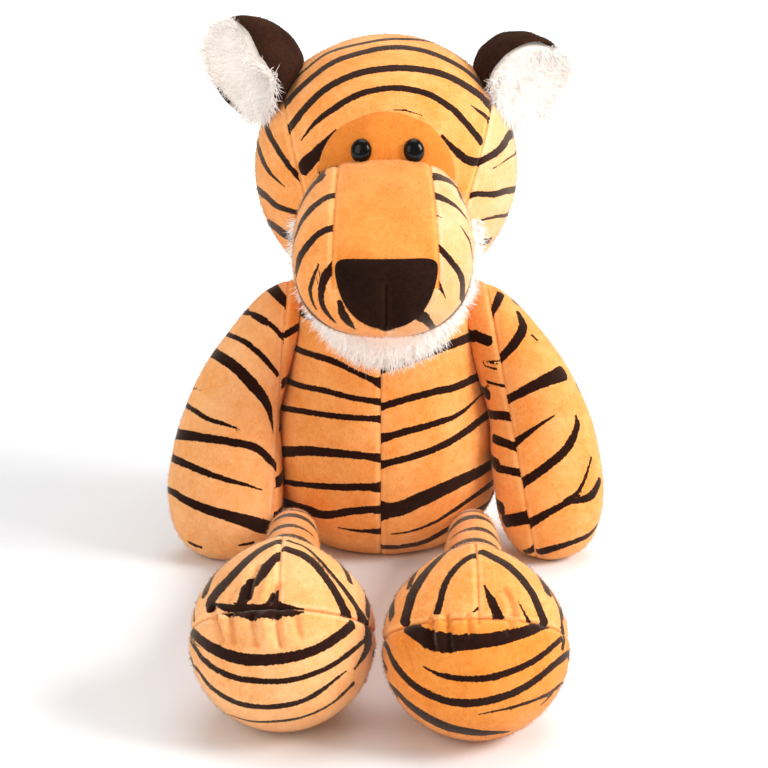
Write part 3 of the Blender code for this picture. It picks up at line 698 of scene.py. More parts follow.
# %% [markdown]
# ## Body
# The body is a pear of two panels with a seam down the front and the back, sitting on a round seat.
# Its top is dished, because the head is a tight ball that was sewn into it. The stripes of the two
# panels don't meet at the front seam, as on any cloth that was printed before it was cut.

# %% Sizes of the head that the body has to fit
HEAD = np.array([0.001, 0, 0.1815])
HEAD_RADIUS = 0.0606
GAP = 0.3 * MM


def clear_of_ball(points, centre, radius):
    """Points inside the ball are moved out to its surface, straight away from its centre."""
    out = points - centre
    far = np.maximum(np.linalg.norm(out, axis=1, keepdims=True), 1e-9)
    return np.where(far < radius, centre + out / far * radius, points)


# %% The body's form
BODY_WIDTH, BODY_DEPTH, BODY_HEIGHT = 0.0555, 0.051, 0.136
BODY_WIDTH_SHARES = (0, 0.6, 0.8, 0.94, 1, 1, 0.965, 0.9, 0.84, 0.785, 0.72, 0.57, 0)
BODY_HEIGHT_SHARES = (0, 0, 0.045, 0.125, 0.235, 0.33, 0.44, 0.55, 0.66, 0.77, 0.87, 0.945, 1)
SEAT_RADIUS = 27 * MM
PLUSH = 1.5 * MM


def body_form(place, turn):
    """x = half width * share(place) * cos(turn), y with the half depth and sin, z = height * share(place)."""
    share = np.maximum(curve(place, BODY_WIDTH_SHARES), 0)
    z = BODY_HEIGHT * np.clip(curve(place, BODY_HEIGHT_SHARES), 0, 1)
    return np.stack([BODY_WIDTH * share * np.cos(turn), BODY_DEPTH * share * np.sin(turn), z], axis=1)


def press_body(points):
    """The dish under the head, the flat on the floor and the recess for the seat panel."""
    points = clear_of_ball(points, HEAD, HEAD_RADIUS + GAP)
    points[:, 2] = np.maximum(points[:, 2], 0)
    under = (np.hypot(points[:, 0], points[:, 1]) < SEAT_RADIUS + GAP) & (points[:, 2] < 6 * MM)
    points[under, 2] = PLUSH + GAP
    return points


BODY_SEAM_X = -1.5 * MM
body_seams = [Seam((BODY_SEAM_X, 0, 0), (1, 0, 0))]
body = sewn(body_form, (280, 200), body_seams, 0.6 * MM, 3, press=press_body)
print("body:", len(body[0]), "points")

# %% Its stripes, left and right of the front seam
# a stripe is its widths in pixels, the pixels that it passes, and the turns in degrees and places where
# it goes on unseen, round the side and the back
BODY_STRIPES = {
    "left": [
        ((9, 7, 3), ((262, 290), (295, 310), (316, 321))),
        ((8, 5, 7, 6, 6.5, 6.5), ((381, 383), (359, 374), (335, 362), (307, 353), (286, 344)), ((172, 0.7),
          (150, 0.7), (120, 0.68), (96, 0.69))),
        ((6,), ((381, 402), (353, 398), (326, 391), (298, 385), (278, 376), (270, 374)), ((170, 0.61),
          (140, 0.6), (112, 0.61))),
        ((6,), ((381, 419), (344, 417), (307, 412), (274, 406), (266, 403)), ((170, 0.53), (140, 0.53),
          (112, 0.54), (95, 0.55))),
        ((7, 9, 11, 14, 15), ((381, 458), (335, 453), (307, 451), (279, 452), (271, 452)), ((170, 0.4),
          (145, 0.42), (118, 0.43), (95, 0.42))),
        ((8, 6, 5, 4), ((381, 487), (335, 487), (307, 485), (286, 482), (279, 479)), ((172, 0.29),
          (140, 0.31), (110, 0.33))),
        ((7, 8, 9, 7, 5), ((381, 509), (353, 511), (326, 515), (307, 510), (286, 503), (280, 497)),
          ((172, 0.22), (140, 0.24), (112, 0.25), (95, 0.25))),
        ((1, 3, 5), ((340, 528), (359, 531), (381, 531))),
        ((1, 7, 8), (), ((150, 0.78), (120, 0.77), (96, 0.78))),
        ((2, 7, 7), (), ((128, 0.47), (112, 0.48), (95, 0.485))),
        ((8, 5, 1), (), ((95, 0.33), (112, 0.34), (132, 0.36))),
    ],
    "right": [
        ((7, 6, 7, 9, 10), ((380, 370), (408, 362), (433, 352), (460, 341), (482, 332))),
        ((7, 7, 8, 11), ((380, 407), (404, 400), (433, 392), (456, 387), (485, 373)), ((5, 0.62),
          (35, 0.61), (62, 0.6), (86, 0.62))),
        ((8, 7, 5, 1), ((380, 439), (408, 431), (443, 421), (462, 412), (485, 391))),
        ((7, 7, 7), ((380, 465), (408, 458), (437, 448), (462, 434), (492, 411), (497, 405)), ((8, 0.51),
          (40, 0.5), (66, 0.51))),
        ((15, 14, 8, 5), ((380, 511), (399, 509), (418, 501), (446, 488), (477, 473), (497, 461),
          (503, 457)), ((8, 0.37), (36, 0.38), (62, 0.4), (86, 0.4))),
        ((1, 3, 5, 6), ((393, 534), (412, 531), (437, 521), (466, 502), (499, 478), (503, 475)), ((8, 0.3),
          (40, 0.31), (70, 0.32))),
        ((4.5,), ((380, 547), (399, 547), (424, 542), (450, 528), (477, 511), (501, 496)), ((8, 0.22),
          (40, 0.23), (66, 0.24), (86, 0.24))), ((1, 7, 8), (), ((30, 0.79), (60, 0.77), (86, 0.76))),
        ((8, 6, 1), (), ((86, 0.69), (62, 0.69), (36, 0.71))),
        ((8, 5, 1), (), ((86, 0.5), (70, 0.49), (56, 0.46))),
        ((8, 5, 1), (), ((86, 0.32), (64, 0.33), (48, 0.35))),
    ],
}


# %% One cover: its panel of the skin, its stripes, and what it stands for
def cover(
    name, skin, core, material, body, stripes=(), chosen=slice(None), slot="striped_plush", inside=(),
    fill=0.8,
):
    """Makes the panel, lays its stripes, ties it to its body and hides its CAD nodes, inside ones too."""
    points, faces, near, _ = skin
    marks = stripe_distance(skin[3], points, normals_of(points, faces), stripes)
    own = {"stripe": marks, "seam": near}
    obj = panel(f"{name}_plush", points, faces, chosen, core, material, own)
    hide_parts(name, *inside)
    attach(obj, body)
    tips = 0
    if material.name.endswith("velour"):
        tips = pile_tips(name, points, faces[chosen], own, material, body)
    print(obj.name, len(obj.data.polygons), "triangles", len(stripes), "stripes", tips, "tips")


# %% The two covers of the body and the seat panel
for side, sign in SIDES.items():
    chosen = body_seams[0].side(centres(*body[:2])) * sign > 0
    inside = ["body_stuffing", "neck_stuffing"] if side == "left" else []
    core = (BODY_SEAM_X, 0, 0.06)
    cover(f"body_cover_{side}", body, core, striped, "torso", BODY_STRIPES[side], chosen, inside=inside)


def seat_form(place, turn):
    """A flat cushion: radius * sin(pi place)^0.5 across, half its thickness * (1 - cos(pi place)) up."""
    ring = (SEAT_RADIUS - 0.1 * MM) * np.sqrt(np.sin(np.pi * place).clip(0))
    up = PLUSH / 2 * (1 - np.cos(np.pi * place))
    return np.stack([ring * np.cos(turn), ring * np.sin(turn), up], axis=1)


seat = skin_of(seat_form, *grid_of(seat_form, 64, 24))
cover("seat_panel", seat, (0, 0, PLUSH / 2), striped, "torso", [
    ((1, 6, 1), (), ((150, 0.1), (95, 0.15), (40, 0.1))),
    ((1, 6, 6), (), ((200, 0.2), (240, 0.12), (320, 0.2))),
], fill=0.2)

# %% [markdown]
# ## Head
# The head is a tight ball of three panels: a wide crown that runs from the face over the top and down
# the back, and a round side panel at each ear. Its stripes bend round the face, and become level rings
# at the back of the head.


# %% The head's form and seams
def head_form(place, turn):
    """centre + radius * unit ball."""
    return HEAD + HEAD_RADIUS * unit_ball(place, turn)


HEAD_SEAM_X = {"left": 36.8 * MM, "right": 37.6 * MM}
HEAD_SEAM_LEAN = {"left": np.radians(15), "right": np.radians(17)}
head_seams = []
for side, sign in SIDES.items():
    lean = HEAD_SEAM_LEAN[side]
    place = HEAD + [sign * HEAD_SEAM_X[side], 0, 0]
    head_seams.append(Seam(place, (sign * np.cos(lean), 0, -np.sin(lean))))
head = sewn(head_form, (300, 165), head_seams, 0.4 * MM, 11)
print("head:", len(head[0]), "points")

# %% The head's stripes
CROWN_STRIPES = [
    ((3, 3.6, 3.6, 3), ((286, 88), (306, 69), (330, 52), (369, 42), (394, 39), (427, 41), (450, 51),
      (463, 60))),
    ((5, 5, 5, 5, 5), ((285, 105), (300, 88), (330, 64), (360, 53), (394, 47), (425, 51), (450, 61),
      (468, 72), (488, 91))),
    ((6.5, 6.5, 6.5, 6.5, 6.5), ((290, 128), (307, 106), (330, 86), (360, 73), (394, 68), (425, 70),
      (450, 77), (477, 93), (490, 106))),
    ((1.5, 6.5, 6, 6.5, 6.5), ((302, 139), (314, 124), (330, 111), (360, 94), (394, 88), (425, 93),
      (450, 107), (465, 122), (480, 140))), ((0.6, 1.8, 0.6), ((387, 111), (403, 110), (421, 115))),
    ((1.5, 4.5), ((472, 106), (480, 112), (488, 120))), ((2, 2), ((491, 101), (496, 99))),
    ((5, 12, 15), ((335, 133), (321, 149), (305, 166))),
    ((3, 7, 9, 8), ((443, 137), (455, 150), (467, 160), (478, 162))),
    ((6, 7, 6), (), ((136, 0.86), (112, 0.9), (90, 0.91), (68, 0.9), (44, 0.86))),
    ((7, 8, 7), (), ((137, 0.77), (112, 0.8), (90, 0.815), (68, 0.8), (43, 0.77))),
    ((6, 7, 2), (), ((137, 0.68), (115, 0.7), (90, 0.71), (60, 0.705))),
    ((2, 8, 8), (), ((120, 0.615), (90, 0.62), (66, 0.615), (43, 0.6))),
    ((8, 7, 8), (), ((138, 0.53), (112, 0.52), (90, 0.53), (68, 0.52), (42, 0.53))),
    ((8, 6, 1), (), ((138, 0.44), (112, 0.43), (84, 0.44), (64, 0.45))),
    ((7, 8, 7), (), ((137, 0.35), (112, 0.34), (90, 0.345), (68, 0.34), (43, 0.36))),
    ((2, 6, 6), (), ((120, 0.25), (90, 0.25), (60, 0.26))),
]
HEAD_SIDE_STRIPES = {
    "left": [
        ((5, 5.5, 5.5), ((266, 117), (267, 128), (274, 143), (289, 166), (304, 182))),
        ((1, 4, 4, 1), ((284, 186), (272, 175), (264, 163), (258, 146)), ((170, 0.585), (150, 0.6),
          (124, 0.61))),
        ((5, 6, 4), ((298, 213), (285, 209), (273, 203), (256, 186)), ((170, 0.45), (150, 0.44),
          (124, 0.44))), ((8, 7), ((292, 238), (283, 233), (270, 224)), ((178, 0.34), (155, 0.33))),
        ((3, 8, 7), (), ((178, 0.68), (158, 0.68), (124, 0.68))),
        ((1, 6, 6), (), ((166, 0.51), (152, 0.52), (124, 0.525))),
    ],
    "right": [
        ((7, 7, 8, 6), ((467, 161), (475, 162), (485, 159), (499, 150), (508, 138), (512, 129)),
          ((12, 0.66), (30, 0.67), (56, 0.67))),
        ((1, 3), ((494, 168), (505, 161), (516, 152)), ((12, 0.545), (26, 0.55))),
        ((6, 6, 7, 9), ((466, 197), (477, 194), (496, 194), (516, 187)), ((10, 0.46), (28, 0.45),
          (56, 0.44))),
        ((2, 3, 4, 4), ((475, 222), (490, 218), (511, 214)), ((10, 0.365), (30, 0.35), (56, 0.35))),
        ((7, 6), ((474, 243), (489, 241))), ((3, 6, 7), (), ((14, 0.6), (28, 0.605), (56, 0.605))),
    ],
}

# %% The crown and the two sides
middle = centres(*head[:2])
beyond = {side: seam.side(middle) > 0 for side, seam in zip(SIDES, head_seams)}
crown = ~beyond["left"] & ~beyond["right"]
cover("head_crown", head, HEAD, striped, "head", CROWN_STRIPES, crown, inside=["head_stuffing"])
for side, sign in SIDES.items():
    core = HEAD + [sign * (HEAD_SEAM_X[side] - 3 * MM), 0, 0]
    # the right side panel takes the paler copy: painted light where the key lamp falls
    cloth = {"left": striped, "right": key_lit_striped}[side]
    cover(f"head_side_{side}", head, core, cloth, "head", HEAD_SIDE_STRIPES[side], beyond[side])

# %% [markdown]
# ## Eye patch and eyes
# A patch of amber plush is sewn over the face, turned under at its edge. The eyes are oval safety eyes
# of black polystyrene: a moulded dome on a shank, as glossy as a wet stone.

# %% The patch
PATCH_HALF_WIDTH, PATCH_FOOT, PATCH_TOP = 30.4 * MM, 0.19, 0.2188
PATCH_THICKNESS, PATCH_SINK = 1.9 * MM, 0.4 * MM


def on_ball(x, z, radius):
    """The front point of the head's ball at x and z: y = -(r^2 - x^2 - z^2)^0.5."""
    across, up = x - HEAD[0], z - HEAD[2]
    return np.stack([x, -np.sqrt(np.maximum(radius**2 - across**2 - up**2, 1e-9)), z], axis=1)


def patch_form(place, turn):
    """A lens on the ball, r = sin(pi place): front out by thickness * (1 - r^6)^0.5, back just under it."""
    r = np.sin(np.pi * place)
    x = HEAD[0] + PATCH_HALF_WIDTH * r * np.cos(turn)
    up = np.where(np.sin(turn) > 0, PATCH_TOP - PATCH_FOOT, 7 * MM)
    z = PATCH_FOOT + up * r * np.sin(turn)
    rise = np.where(place > 0.5, PATCH_SINK + PATCH_THICKNESS, 0.3 * MM)
    return on_ball(x, z, HEAD_RADIUS - PATCH_SINK + rise * np.sqrt(np.maximum(1 - r**6, 0)))


points, faces = grid_of(patch_form, 150, 90)
points = points + normals_of(points, faces) * (ripple(points, 14 * MM, 5) * 0.25 * MM)[:, None]
patch = skin_of(patch_form, points, faces)
cover("eye_patch", patch, (0, 0, 0), patch_cloth, "head", slot="patch_plush", fill=0.5)

# %% Black polystyrene and the domes
EYE_X = {"left": 10.6 * MM, "right": 11.7 * MM}
EYE_Z, EYE_HALF_WIDTH, EYE_HALF_HEIGHT = 0.2026, 4.6 * MM, 5.4 * MM
# moulded and polished: the look is all reflection, over a colour that is almost black
polystyrene, tree, place = new_material("polished_black_polystyrene")
spots = add(tree, "ShaderNodeTexNoise", sockets={"Scale": 900.0, "Detail": 2.0}).outputs["Fac"]
surface(tree, {
    "Base Color": linear("040303"), "Roughness": ramp(tree, spots, 0.0, 1.0, 0.1, 0.17), "IOR": 1.5,
    "Specular IOR Level": 0.2,
})
washer_plastic, tree, place = new_material("white_polypropylene")
flecks = add(tree, "ShaderNodeTexNoise", sockets={"Scale": 1200.0}).outputs["Fac"]
surface(tree, {"Base Color": mix(tree, flecks, "DADAD6", "E6E6E2"), "Roughness": 0.4})


def eye_form(side):
    """Places on an oval dome that turns over a rounded edge into a shank, looking away from the head."""
    spot = on_ball(np.array([HEAD[0] + SIDES[side] * EYE_X[side]]), np.array([EYE_Z]), HEAD_RADIUS)[0]
    out = (spot - HEAD) / HEAD_RADIUS
    across = unit(np.cross([0, 0, 1], out))
    above = np.cross(out, across)
    seat = spot + out * (PATCH_THICKNESS - 0.3 * MM)
    # profile from the back of the shank to the top of the dome: share of the half width, and height
    wide = np.array([0, 0.28, 0.28, 0.28, 0.9, 1, 1, 0.985, 0.95, 0.88, 0.78, 0.64, 0.46, 0.24, 0])
    high = np.array([-11, -11, -6, -0.4, -0.35, 0, 0.5, 1.1, 1.7, 2.3, 2.85, 3.3, 3.65, 3.86, 3.93]) * MM

    def form(place, turn):
        at = np.linspace(0, 1, len(wide))
        share, height = np.interp(place, at, wide), np.interp(place, at, high)
        x, y = share * EYE_HALF_WIDTH * np.cos(turn), share * EYE_HALF_HEIGHT * np.sin(turn)
        return seat + x[:, None] * across + y[:, None] * above + height[:, None] * out

    return form


for side in SIDES:
    obj = mesh_object(f"eye_{side}_dome", *grid_of(eye_form(side), 48, 56), polystyrene, crease=40)
    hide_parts(f"eye_{side}")
    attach(obj, "head")
    washer = frame["nodes"][f"eye_washer_{side}"]
    washer.data.materials.clear()
    washer.data.materials.append(washer_plastic)
print("eyes:", 2 * EYE_HALF_WIDTH / MM, "x", 2 * EYE_HALF_HEIGHT / MM, "mm")

# %% [markdown]
# ## Muzzle
# The muzzle is a boxy cushion sewn on the face: a plain bridge on top, and two striped cheeks that
# meet under the chin. Where it meets the head its skin lies on the ball.

# %% The muzzle's form, seams and panels
MUZZLE = np.array([-0.0003, -0.073, 0.1621])
MUZZLE_HALF = np.array([39.2, 41.5, 34.5]) * MM
MUZZLE_SLOPE, MUZZLE_POWER = 0.3, 2.6
MUZZLE_SEAM_X = HEAD[0]


def muzzle_form(place, turn):
    """A rounded box of power 2.6 whose top falls 0.3 mm for each mm forward."""
    points = rounded_box(unit_ball(place, turn), MUZZLE_POWER) * MUZZLE_HALF
    points[:, 2] += np.clip(points[:, 2] / MUZZLE_HALF[2], 0, 1) * MUZZLE_SLOPE * points[:, 1]
    return points + MUZZLE


def press_muzzle(points):
    """Outside the head's ball."""
    return clear_of_ball(points, HEAD, HEAD_RADIUS + GAP)


BRIDGE_FOOT = (np.array([0, 0, 0.157]), np.array([0, 0, 1.0]))
UNDER = (np.array([0, 0, 0.157]), np.array([0, 0, -1.0]))
muzzle_seams = [
    Seam((-0.0202, -0.058, 0.19), (-1, 0.03, 0), BRIDGE_FOOT, 0.8 * MM),
    Seam((0.0204, -0.058, 0.19), (1, 0.055, 0), BRIDGE_FOOT, 0.8 * MM),
    Seam((MUZZLE_SEAM_X, 0, 0), (1, 0, 0), UNDER, 0.7 * MM),
]
muzzle = sewn(muzzle_form, (210, 120), muzzle_seams, 0.5 * MM, 23, press=press_muzzle)
middle = centres(*muzzle[:2])
bridge = (muzzle_seams[0].side(middle) < 0) & (muzzle_seams[1].side(middle) < 0)
bridge &= middle[:, 2] > BRIDGE_FOOT[0][2]
MUZZLE_STRIPES = {
    "left": [
        ((5, 8, 7, 6, 4), ((300, 204), (303, 187), (313, 175), (328, 167), (352, 163))),
        ((5, 5, 6, 5, 3), ((340, 193), (324, 199), (311, 209), (300, 224), (294, 242))),
        ((6, 6.5, 6.5, 6, 4), ((336, 227), (320, 233), (307, 246), (299, 259), (296, 272))),
        ((2, 4, 4, 2), ((318, 266), (313, 279), (310, 292), (315, 307))),
        ((8, 9, 6, 5, 2), ((337, 262), (325, 277), (321, 294), (324, 309), (334, 321))),
        ((5, 9, 7, 2), ((340, 304), (344, 316), (348, 322), (354, 328))), ((4, 5), ((379, 326), (387, 329))),
        ((3, 7, 3), (), ((200, 0.42), (215, 0.3), (240, 0.2))),
        ((1, 6, 4), (), ((196, 0.3), (215, 0.2), (250, 0.12))),
        ((3, 6, 1), (), ((172, 0.62), (182, 0.5), (192, 0.42))),
    ],
    "right": [
        ((7, 6, 5, 3, 1), ((428, 175), (446, 179), (461, 192), (468, 203), (471, 214))),
        ((6, 5, 3, 1), ((433, 195), (446, 200), (459, 209), (469, 223))),
        ((1, 2.5, 2.5, 1), ((461, 227), (469, 240), (472, 252), (473, 265))),
        ((6, 6, 6, 6, 5), ((440, 249), (451, 261), (461, 276), (463, 290), (462, 304))),
        ((6, 4, 1), ((434, 277), (440, 287), (445, 297))),
        ((10, 12, 8, 5), ((413, 312), (422, 317), (428, 322), (436, 328))),
        ((5, 4), ((387, 329), (396, 326))), ((1, 1.5), ((440, 217), (438, 216))),
        ((3, 7, 3), (), ((340, 0.42), (325, 0.3), (300, 0.2))),
        ((1, 6, 4), (), ((344, 0.3), (325, 0.2), (290, 0.12))),
        ((3, 6, 1), (), ((8, 0.6), (-2, 0.5), (-12, 0.42))),
    ],
}
stuffing = ["muzzle_stuffing"]
cover("muzzle_bridge", muzzle, MUZZLE, plain, "head", (), bridge, slot="plain_plush", inside=stuffing)
for side, sign in SIDES.items():
    cheek = ~bridge & ((middle[:, 0] - MUZZLE_SEAM_X) * sign > 0)
    # the right cheek takes the paler copy: painted light where the key lamp falls
    cloth = {"left": striped, "right": key_lit_striped}[side]
    cover(f"muzzle_cheek_{side}", muzzle, MUZZLE, cloth, "head", MUZZLE_STRIPES[side], cheek)

# %% [markdown]
# ## Nose
# The nose is a shield of dark brown plush, level along the top and round below, padded a little and
# parted by a seam down its middle. It lies on the front of the muzzle.

# %% The nose
NOSE_TOP, NOSE_HEIGHT, NOSE_HALF_WIDTH = 0.1709, 32.6 * MM, 22 * MM
NOSE_BULGE, NOSE_SINK = 4.6 * MM, 0.6 * MM


def muzzle_front(x, z):
    """y of the muzzle's front at x and z, solved from |x|^p + |y|^p + |z|^p = 1 on its box."""
    up = z - MUZZLE[2]
    up = np.where(up > 0, up / (1 - MUZZLE_SLOPE * MUZZLE_HALF[1] / MUZZLE_HALF[2] * 0.93), up)
    shares = np.abs([(x - MUZZLE[0]) / MUZZLE_HALF[0], up / MUZZLE_HALF[2]]) ** MUZZLE_POWER
    return MUZZLE[1] - MUZZLE_HALF[1] * np.maximum(1 - shares.sum(0), 0.02) ** (1 / MUZZLE_POWER)


def nose_form(place, turn):
    """A rounded square that narrows downwards by (1 - down^2.2)^0.5, domed in front by (1 - r^4)^0.5."""
    r = np.sin(np.pi * place)
    square = rounded_box(np.stack([np.cos(turn), np.sin(turn), 0 * turn], axis=1), 8) * r[:, None]
    down = np.clip((1 - square[:, 1]) / 2, 0, 1)
    x = MUZZLE_SEAM_X + NOSE_HALF_WIDTH * square[:, 0] * np.sqrt(np.maximum(1 - down**2.2, 0.004))
    z = NOSE_TOP - NOSE_HEIGHT * down
    rise = np.where(place > 0.5, NOSE_BULGE, 0.3 * MM) * np.sqrt(np.maximum(1 - r**4, 0))
    return np.stack([x, muzzle_front(x, z) + NOSE_SINK - rise, z], axis=1)


below = (np.array([0, 0, 0.161]), np.array([0, 0, -1.0]))
nose_seam = Seam((MUZZLE_SEAM_X, 0, 0), (1, 0, 0), below, 1.3 * MM)
points, faces = cut_along(*grid_of(nose_form, 150, 100), [nose_seam])
points, near = crease(points, faces, [nose_seam], 31)
nose = skin_of(nose_form, points, faces, near)
cover("nose", nose, MUZZLE, nose_cloth, "head", slot="dark_plush", fill=0.6)

# %% [markdown]
# ## Arms
# Each arm is a drop of cloth that is narrow at the shoulder and heavy at the hand, of an outer panel
# and a thin inner strip. It hangs from the shoulder, leans on the flank and rests on the floor.

# %% The arms' form
SHOULDER_X, SHOULDER_Z = 0.784 * BODY_WIDTH, 0.9375 * BODY_HEIGHT
HAND_X = {"left": 0.0748, "right": 0.0785}
HAND_Y = -0.032
HAND_HALF_WIDTH = {"left": 0.0272, "right": 0.0252}
HAND_HALF_DEPTH = 0.021
ARM_DROP = (1, 0.985, 0.93, 0.84, 0.74, 0.62, 0.47, 0.3, 0.15, 0.05, 0)
ARM_OUT = {
    "left": (0.97, 0.98, 1, 1, 1, 0.98, 0.92, 0.69, 0.34, 0.1, 0),
    "right": (0.97, 0.98, 1, 1, 1, 0.98, 0.92, 0.7, 0.37, 0.12, 0),
}
ARM_FORWARD = (1, 1, 1, 0.97, 0.92, 0.8, 0.64, 0.5, 0.3, 0.1, 0)
ARM_WIDTH = (0, 0.45, 0.78, 0.96, 1, 0.95, 0.82, 0.71, 0.56, 0.36, 0)
ARM_DEPTH = (0, 0.5, 0.82, 0.97, 1, 0.95, 0.84, 0.74, 0.6, 0.38, 0)
# how much fuller the side against the body is than the outer side
ARM_INNER = {
    "left": (1, 1, 1, 1, 1, 1.02, 1.06, 1.1, 1.1, 1, 1),
    "right": (1, 1, 1, 1, 1.03, 1.14, 1.3, 1.42, 1.4, 1.2, 1),
}
FLOOR_FLAT = 0.5 * MM


def flank(y, z):
    """Half width of the body at a depth and height: width * (share^2 - (y / depth)^2)^0.5."""
    share = np.interp(z / BODY_HEIGHT, BODY_HEIGHT_SHARES[1:], BODY_WIDTH_SHARES[1:])
    inside = np.sqrt(np.maximum(share**2 - (y / BODY_DEPTH) ** 2, 0))
    return np.where((z > 0) & (z < BODY_HEIGHT), BODY_WIDTH * inside, 0)


def arm_form(side):
    """Flat rings round a line from hand to shoulder: centre, half width and half depth by the tables."""

    def form(place, turn):
        x = SHOULDER_X + (HAND_X[side] - SHOULDER_X) * curve(place, ARM_OUT[side])
        fuller = np.where(np.cos(turn) < 0, curve(place, ARM_INNER[side]), 1)
        wide, deep = (np.maximum(curve(place, shares), 0) for shares in (ARM_WIDTH, ARM_DEPTH))
        x = x + HAND_HALF_WIDTH[side] * wide * np.cos(turn) * fuller
        y = HAND_Y * curve(place, ARM_FORWARD) + HAND_HALF_DEPTH * deep * np.sin(turn)
        z = np.maximum(SHOULDER_Z - curve(place, ARM_DROP) * (SHOULDER_Z + FLOOR_FLAT), 0)
        x = np.where(flank(y, z) > 0, np.maximum(x, flank(y, z) + 2 * GAP), x)
        return np.stack([SIDES[side] * x, y, z], axis=1)

    return form


def press_arm(points):
    """Flat on the floor, and outside the body's flank."""
    points[:, 2] = np.maximum(points[:, 2], 0)
    side = np.sign(points[:, 0])
    inner = flank(points[:, 1], points[:, 2]) + GAP
    points[:, 0] = np.where(inner > GAP, side * np.maximum(np.abs(points[:, 0]), inner), points[:, 0])
    return points


# %% Their stripes
ARM_STRIPES = {
    "left": [
        ((13, 11, 7), ((268, 283), (275, 291), (284, 301), (297, 313))),
        ((4.5, 5, 5, 4), ((239, 312), (256, 315), (271, 325), (287, 342)), ((30, 0.82), (80, 0.83),
          (130, 0.81))), ((4, 5.5, 6, 4.5), ((224, 333), (243, 341), (263, 357), (277, 374))),
        ((11, 11, 12, 9, 4, 1), ((214, 353), (234, 366), (252, 384), (266, 402), (271, 418), (273, 432))),
        ((2.5, 2), ((194, 388), (201, 391))),
        ((5, 5, 4, 1), ((187, 405), (206, 418), (224, 424), (239, 429))),
        ((11, 8.5, 8, 8, 7, 4), ((177, 434), (206, 438), (237, 443), (256, 448), (271, 461), (283, 475))),
        ((8, 7, 6, 4, 1), ((173, 458), (197, 469), (224, 479), (243, 484), (262, 490))),
        ((6, 8, 10, 12, 15, 12), ((167, 488), (187, 501), (215, 512), (239, 519), (261, 526), (273, 529))),
        ((2, 3, 2), ((190, 543), (195, 546), (200, 547))), ((2, 3), ((241, 545), (252, 543))),
        ((5, 6, 5), (), ((20, 0.745), (60, 0.76), (110, 0.75))),
        ((11, 8, 3), (), ((20, 0.695), (60, 0.69), (100, 0.68))),
        ((4, 8, 7), (), ((40, 0.6), (80, 0.61), (130, 0.62))),
        ((5, 6, 1), (), ((18, 0.58), (35, 0.57), (60, 0.55))),
        ((10, 8, 7), (), ((18, 0.5), (60, 0.49), (110, 0.5), (140, 0.51))),
        ((8, 5, 1), (), ((18, 0.43), (50, 0.42), (90, 0.41))),
        ((6, 8, 9), (), ((18, 0.325), (60, 0.33), (110, 0.34), (150, 0.36))),
        ((1, 6, 6), (), ((50, 0.25), (90, 0.26), (140, 0.27))),
    ],
    "right": [
        ((9, 6, 4), ((500, 295), (492, 314), (482, 330))),
        ((4, 9, 10, 7), ((519, 314), (523, 327), (514, 344), (496, 363))),
        ((16, 11, 8), ((561, 374), (536, 385), (507, 400))),
        ((1, 4, 8), ((557, 414), (538, 426), (515, 443))),
        ((2, 6, 9, 9, 10), ((576, 417), (577, 427), (567, 448), (546, 467), (518, 486))),
        ((1.5, 3, 4, 6), ((591, 458), (586, 476), (578, 492), (568, 500))),
        ((5, 8, 7, 6, 7, 10), ((599, 482), (592, 495), (580, 500), (569, 502), (548, 513), (525, 526))),
        ((2, 4, 5, 7), ((599, 522), (590, 534), (571, 543), (541, 552))), ((2, 2), ((533, 336), (536, 339))),
        ((2, 3, 2), ((553, 560), (559, 560), (564, 559))),
        ((8, 6, 5), (), ((10, 0.86), (60, 0.87), (120, 0.86))),
        ((4, 7, 6), (), ((30, 0.78), (70, 0.77), (120, 0.78))),
        ((14, 9, 5), (), ((5, 0.655), (40, 0.67), (90, 0.68))),
        ((1, 6, 6), (), ((30, 0.6), (80, 0.61), (130, 0.6))),
        ((6, 7, 6), (), ((12, 0.51), (50, 0.52), (100, 0.53), (140, 0.52))),
        ((5, 6, 1), (), ((12, 0.41), (50, 0.42), (90, 0.44))),
        ((8, 8, 7), (), ((12, 0.33), (60, 0.34), (110, 0.33), (150, 0.34))),
        ((1, 6, 6), (), ((50, 0.24), (90, 0.25), (140, 0.24))),
    ],
}
ARM_STRIP = {
    "left": [
        ((7, 7), (), ((175, 0.8), (200, 0.8), (235, 0.79))),
        ((8, 8), (), ((170, 0.68), (205, 0.67), (240, 0.66))),
        ((7, 7), (), ((165, 0.57), (200, 0.57), (240, 0.56))),
        ((9, 9), (), ((160, 0.45), (200, 0.44), (240, 0.45))),
        ((8, 8), (), ((160, 0.33), (200, 0.32), (240, 0.33))),
    ],
    "right": [
        ((10, 11), ((468, 333), (486, 340))), ((2.5, 2), ((484, 362), (492, 364), (498, 361))),
        ((2, 2), ((485, 366), (496, 369))), ((3, 3), ((488, 382), (504, 386))),
        ((9, 9), ((490, 414), (513, 417))), ((9, 8), ((495, 439), (518, 448))),
        ((8, 8), ((498, 468), (520, 473))), ((13, 13), ((506, 521), (525, 518))),
        ((5, 7), ((526, 552), (539, 546))), ((8, 8), (), ((160, 0.8), (200, 0.79))),
        ((8, 8), (), ((160, 0.66), (200, 0.65))), ((8, 8), (), ((160, 0.5), (200, 0.49))),
        ((8, 8), (), ((160, 0.36), (200, 0.35))),
    ],
}
# how far in the seam lies at the hand, in half widths; the left one is turned out of the camera's sight
ARM_SEAM_SHARE = {"left": 0.78, "right": 0.25}
ARM_SEAM_OUT = {"left": 1.5 * MM, "right": 4.5 * MM}

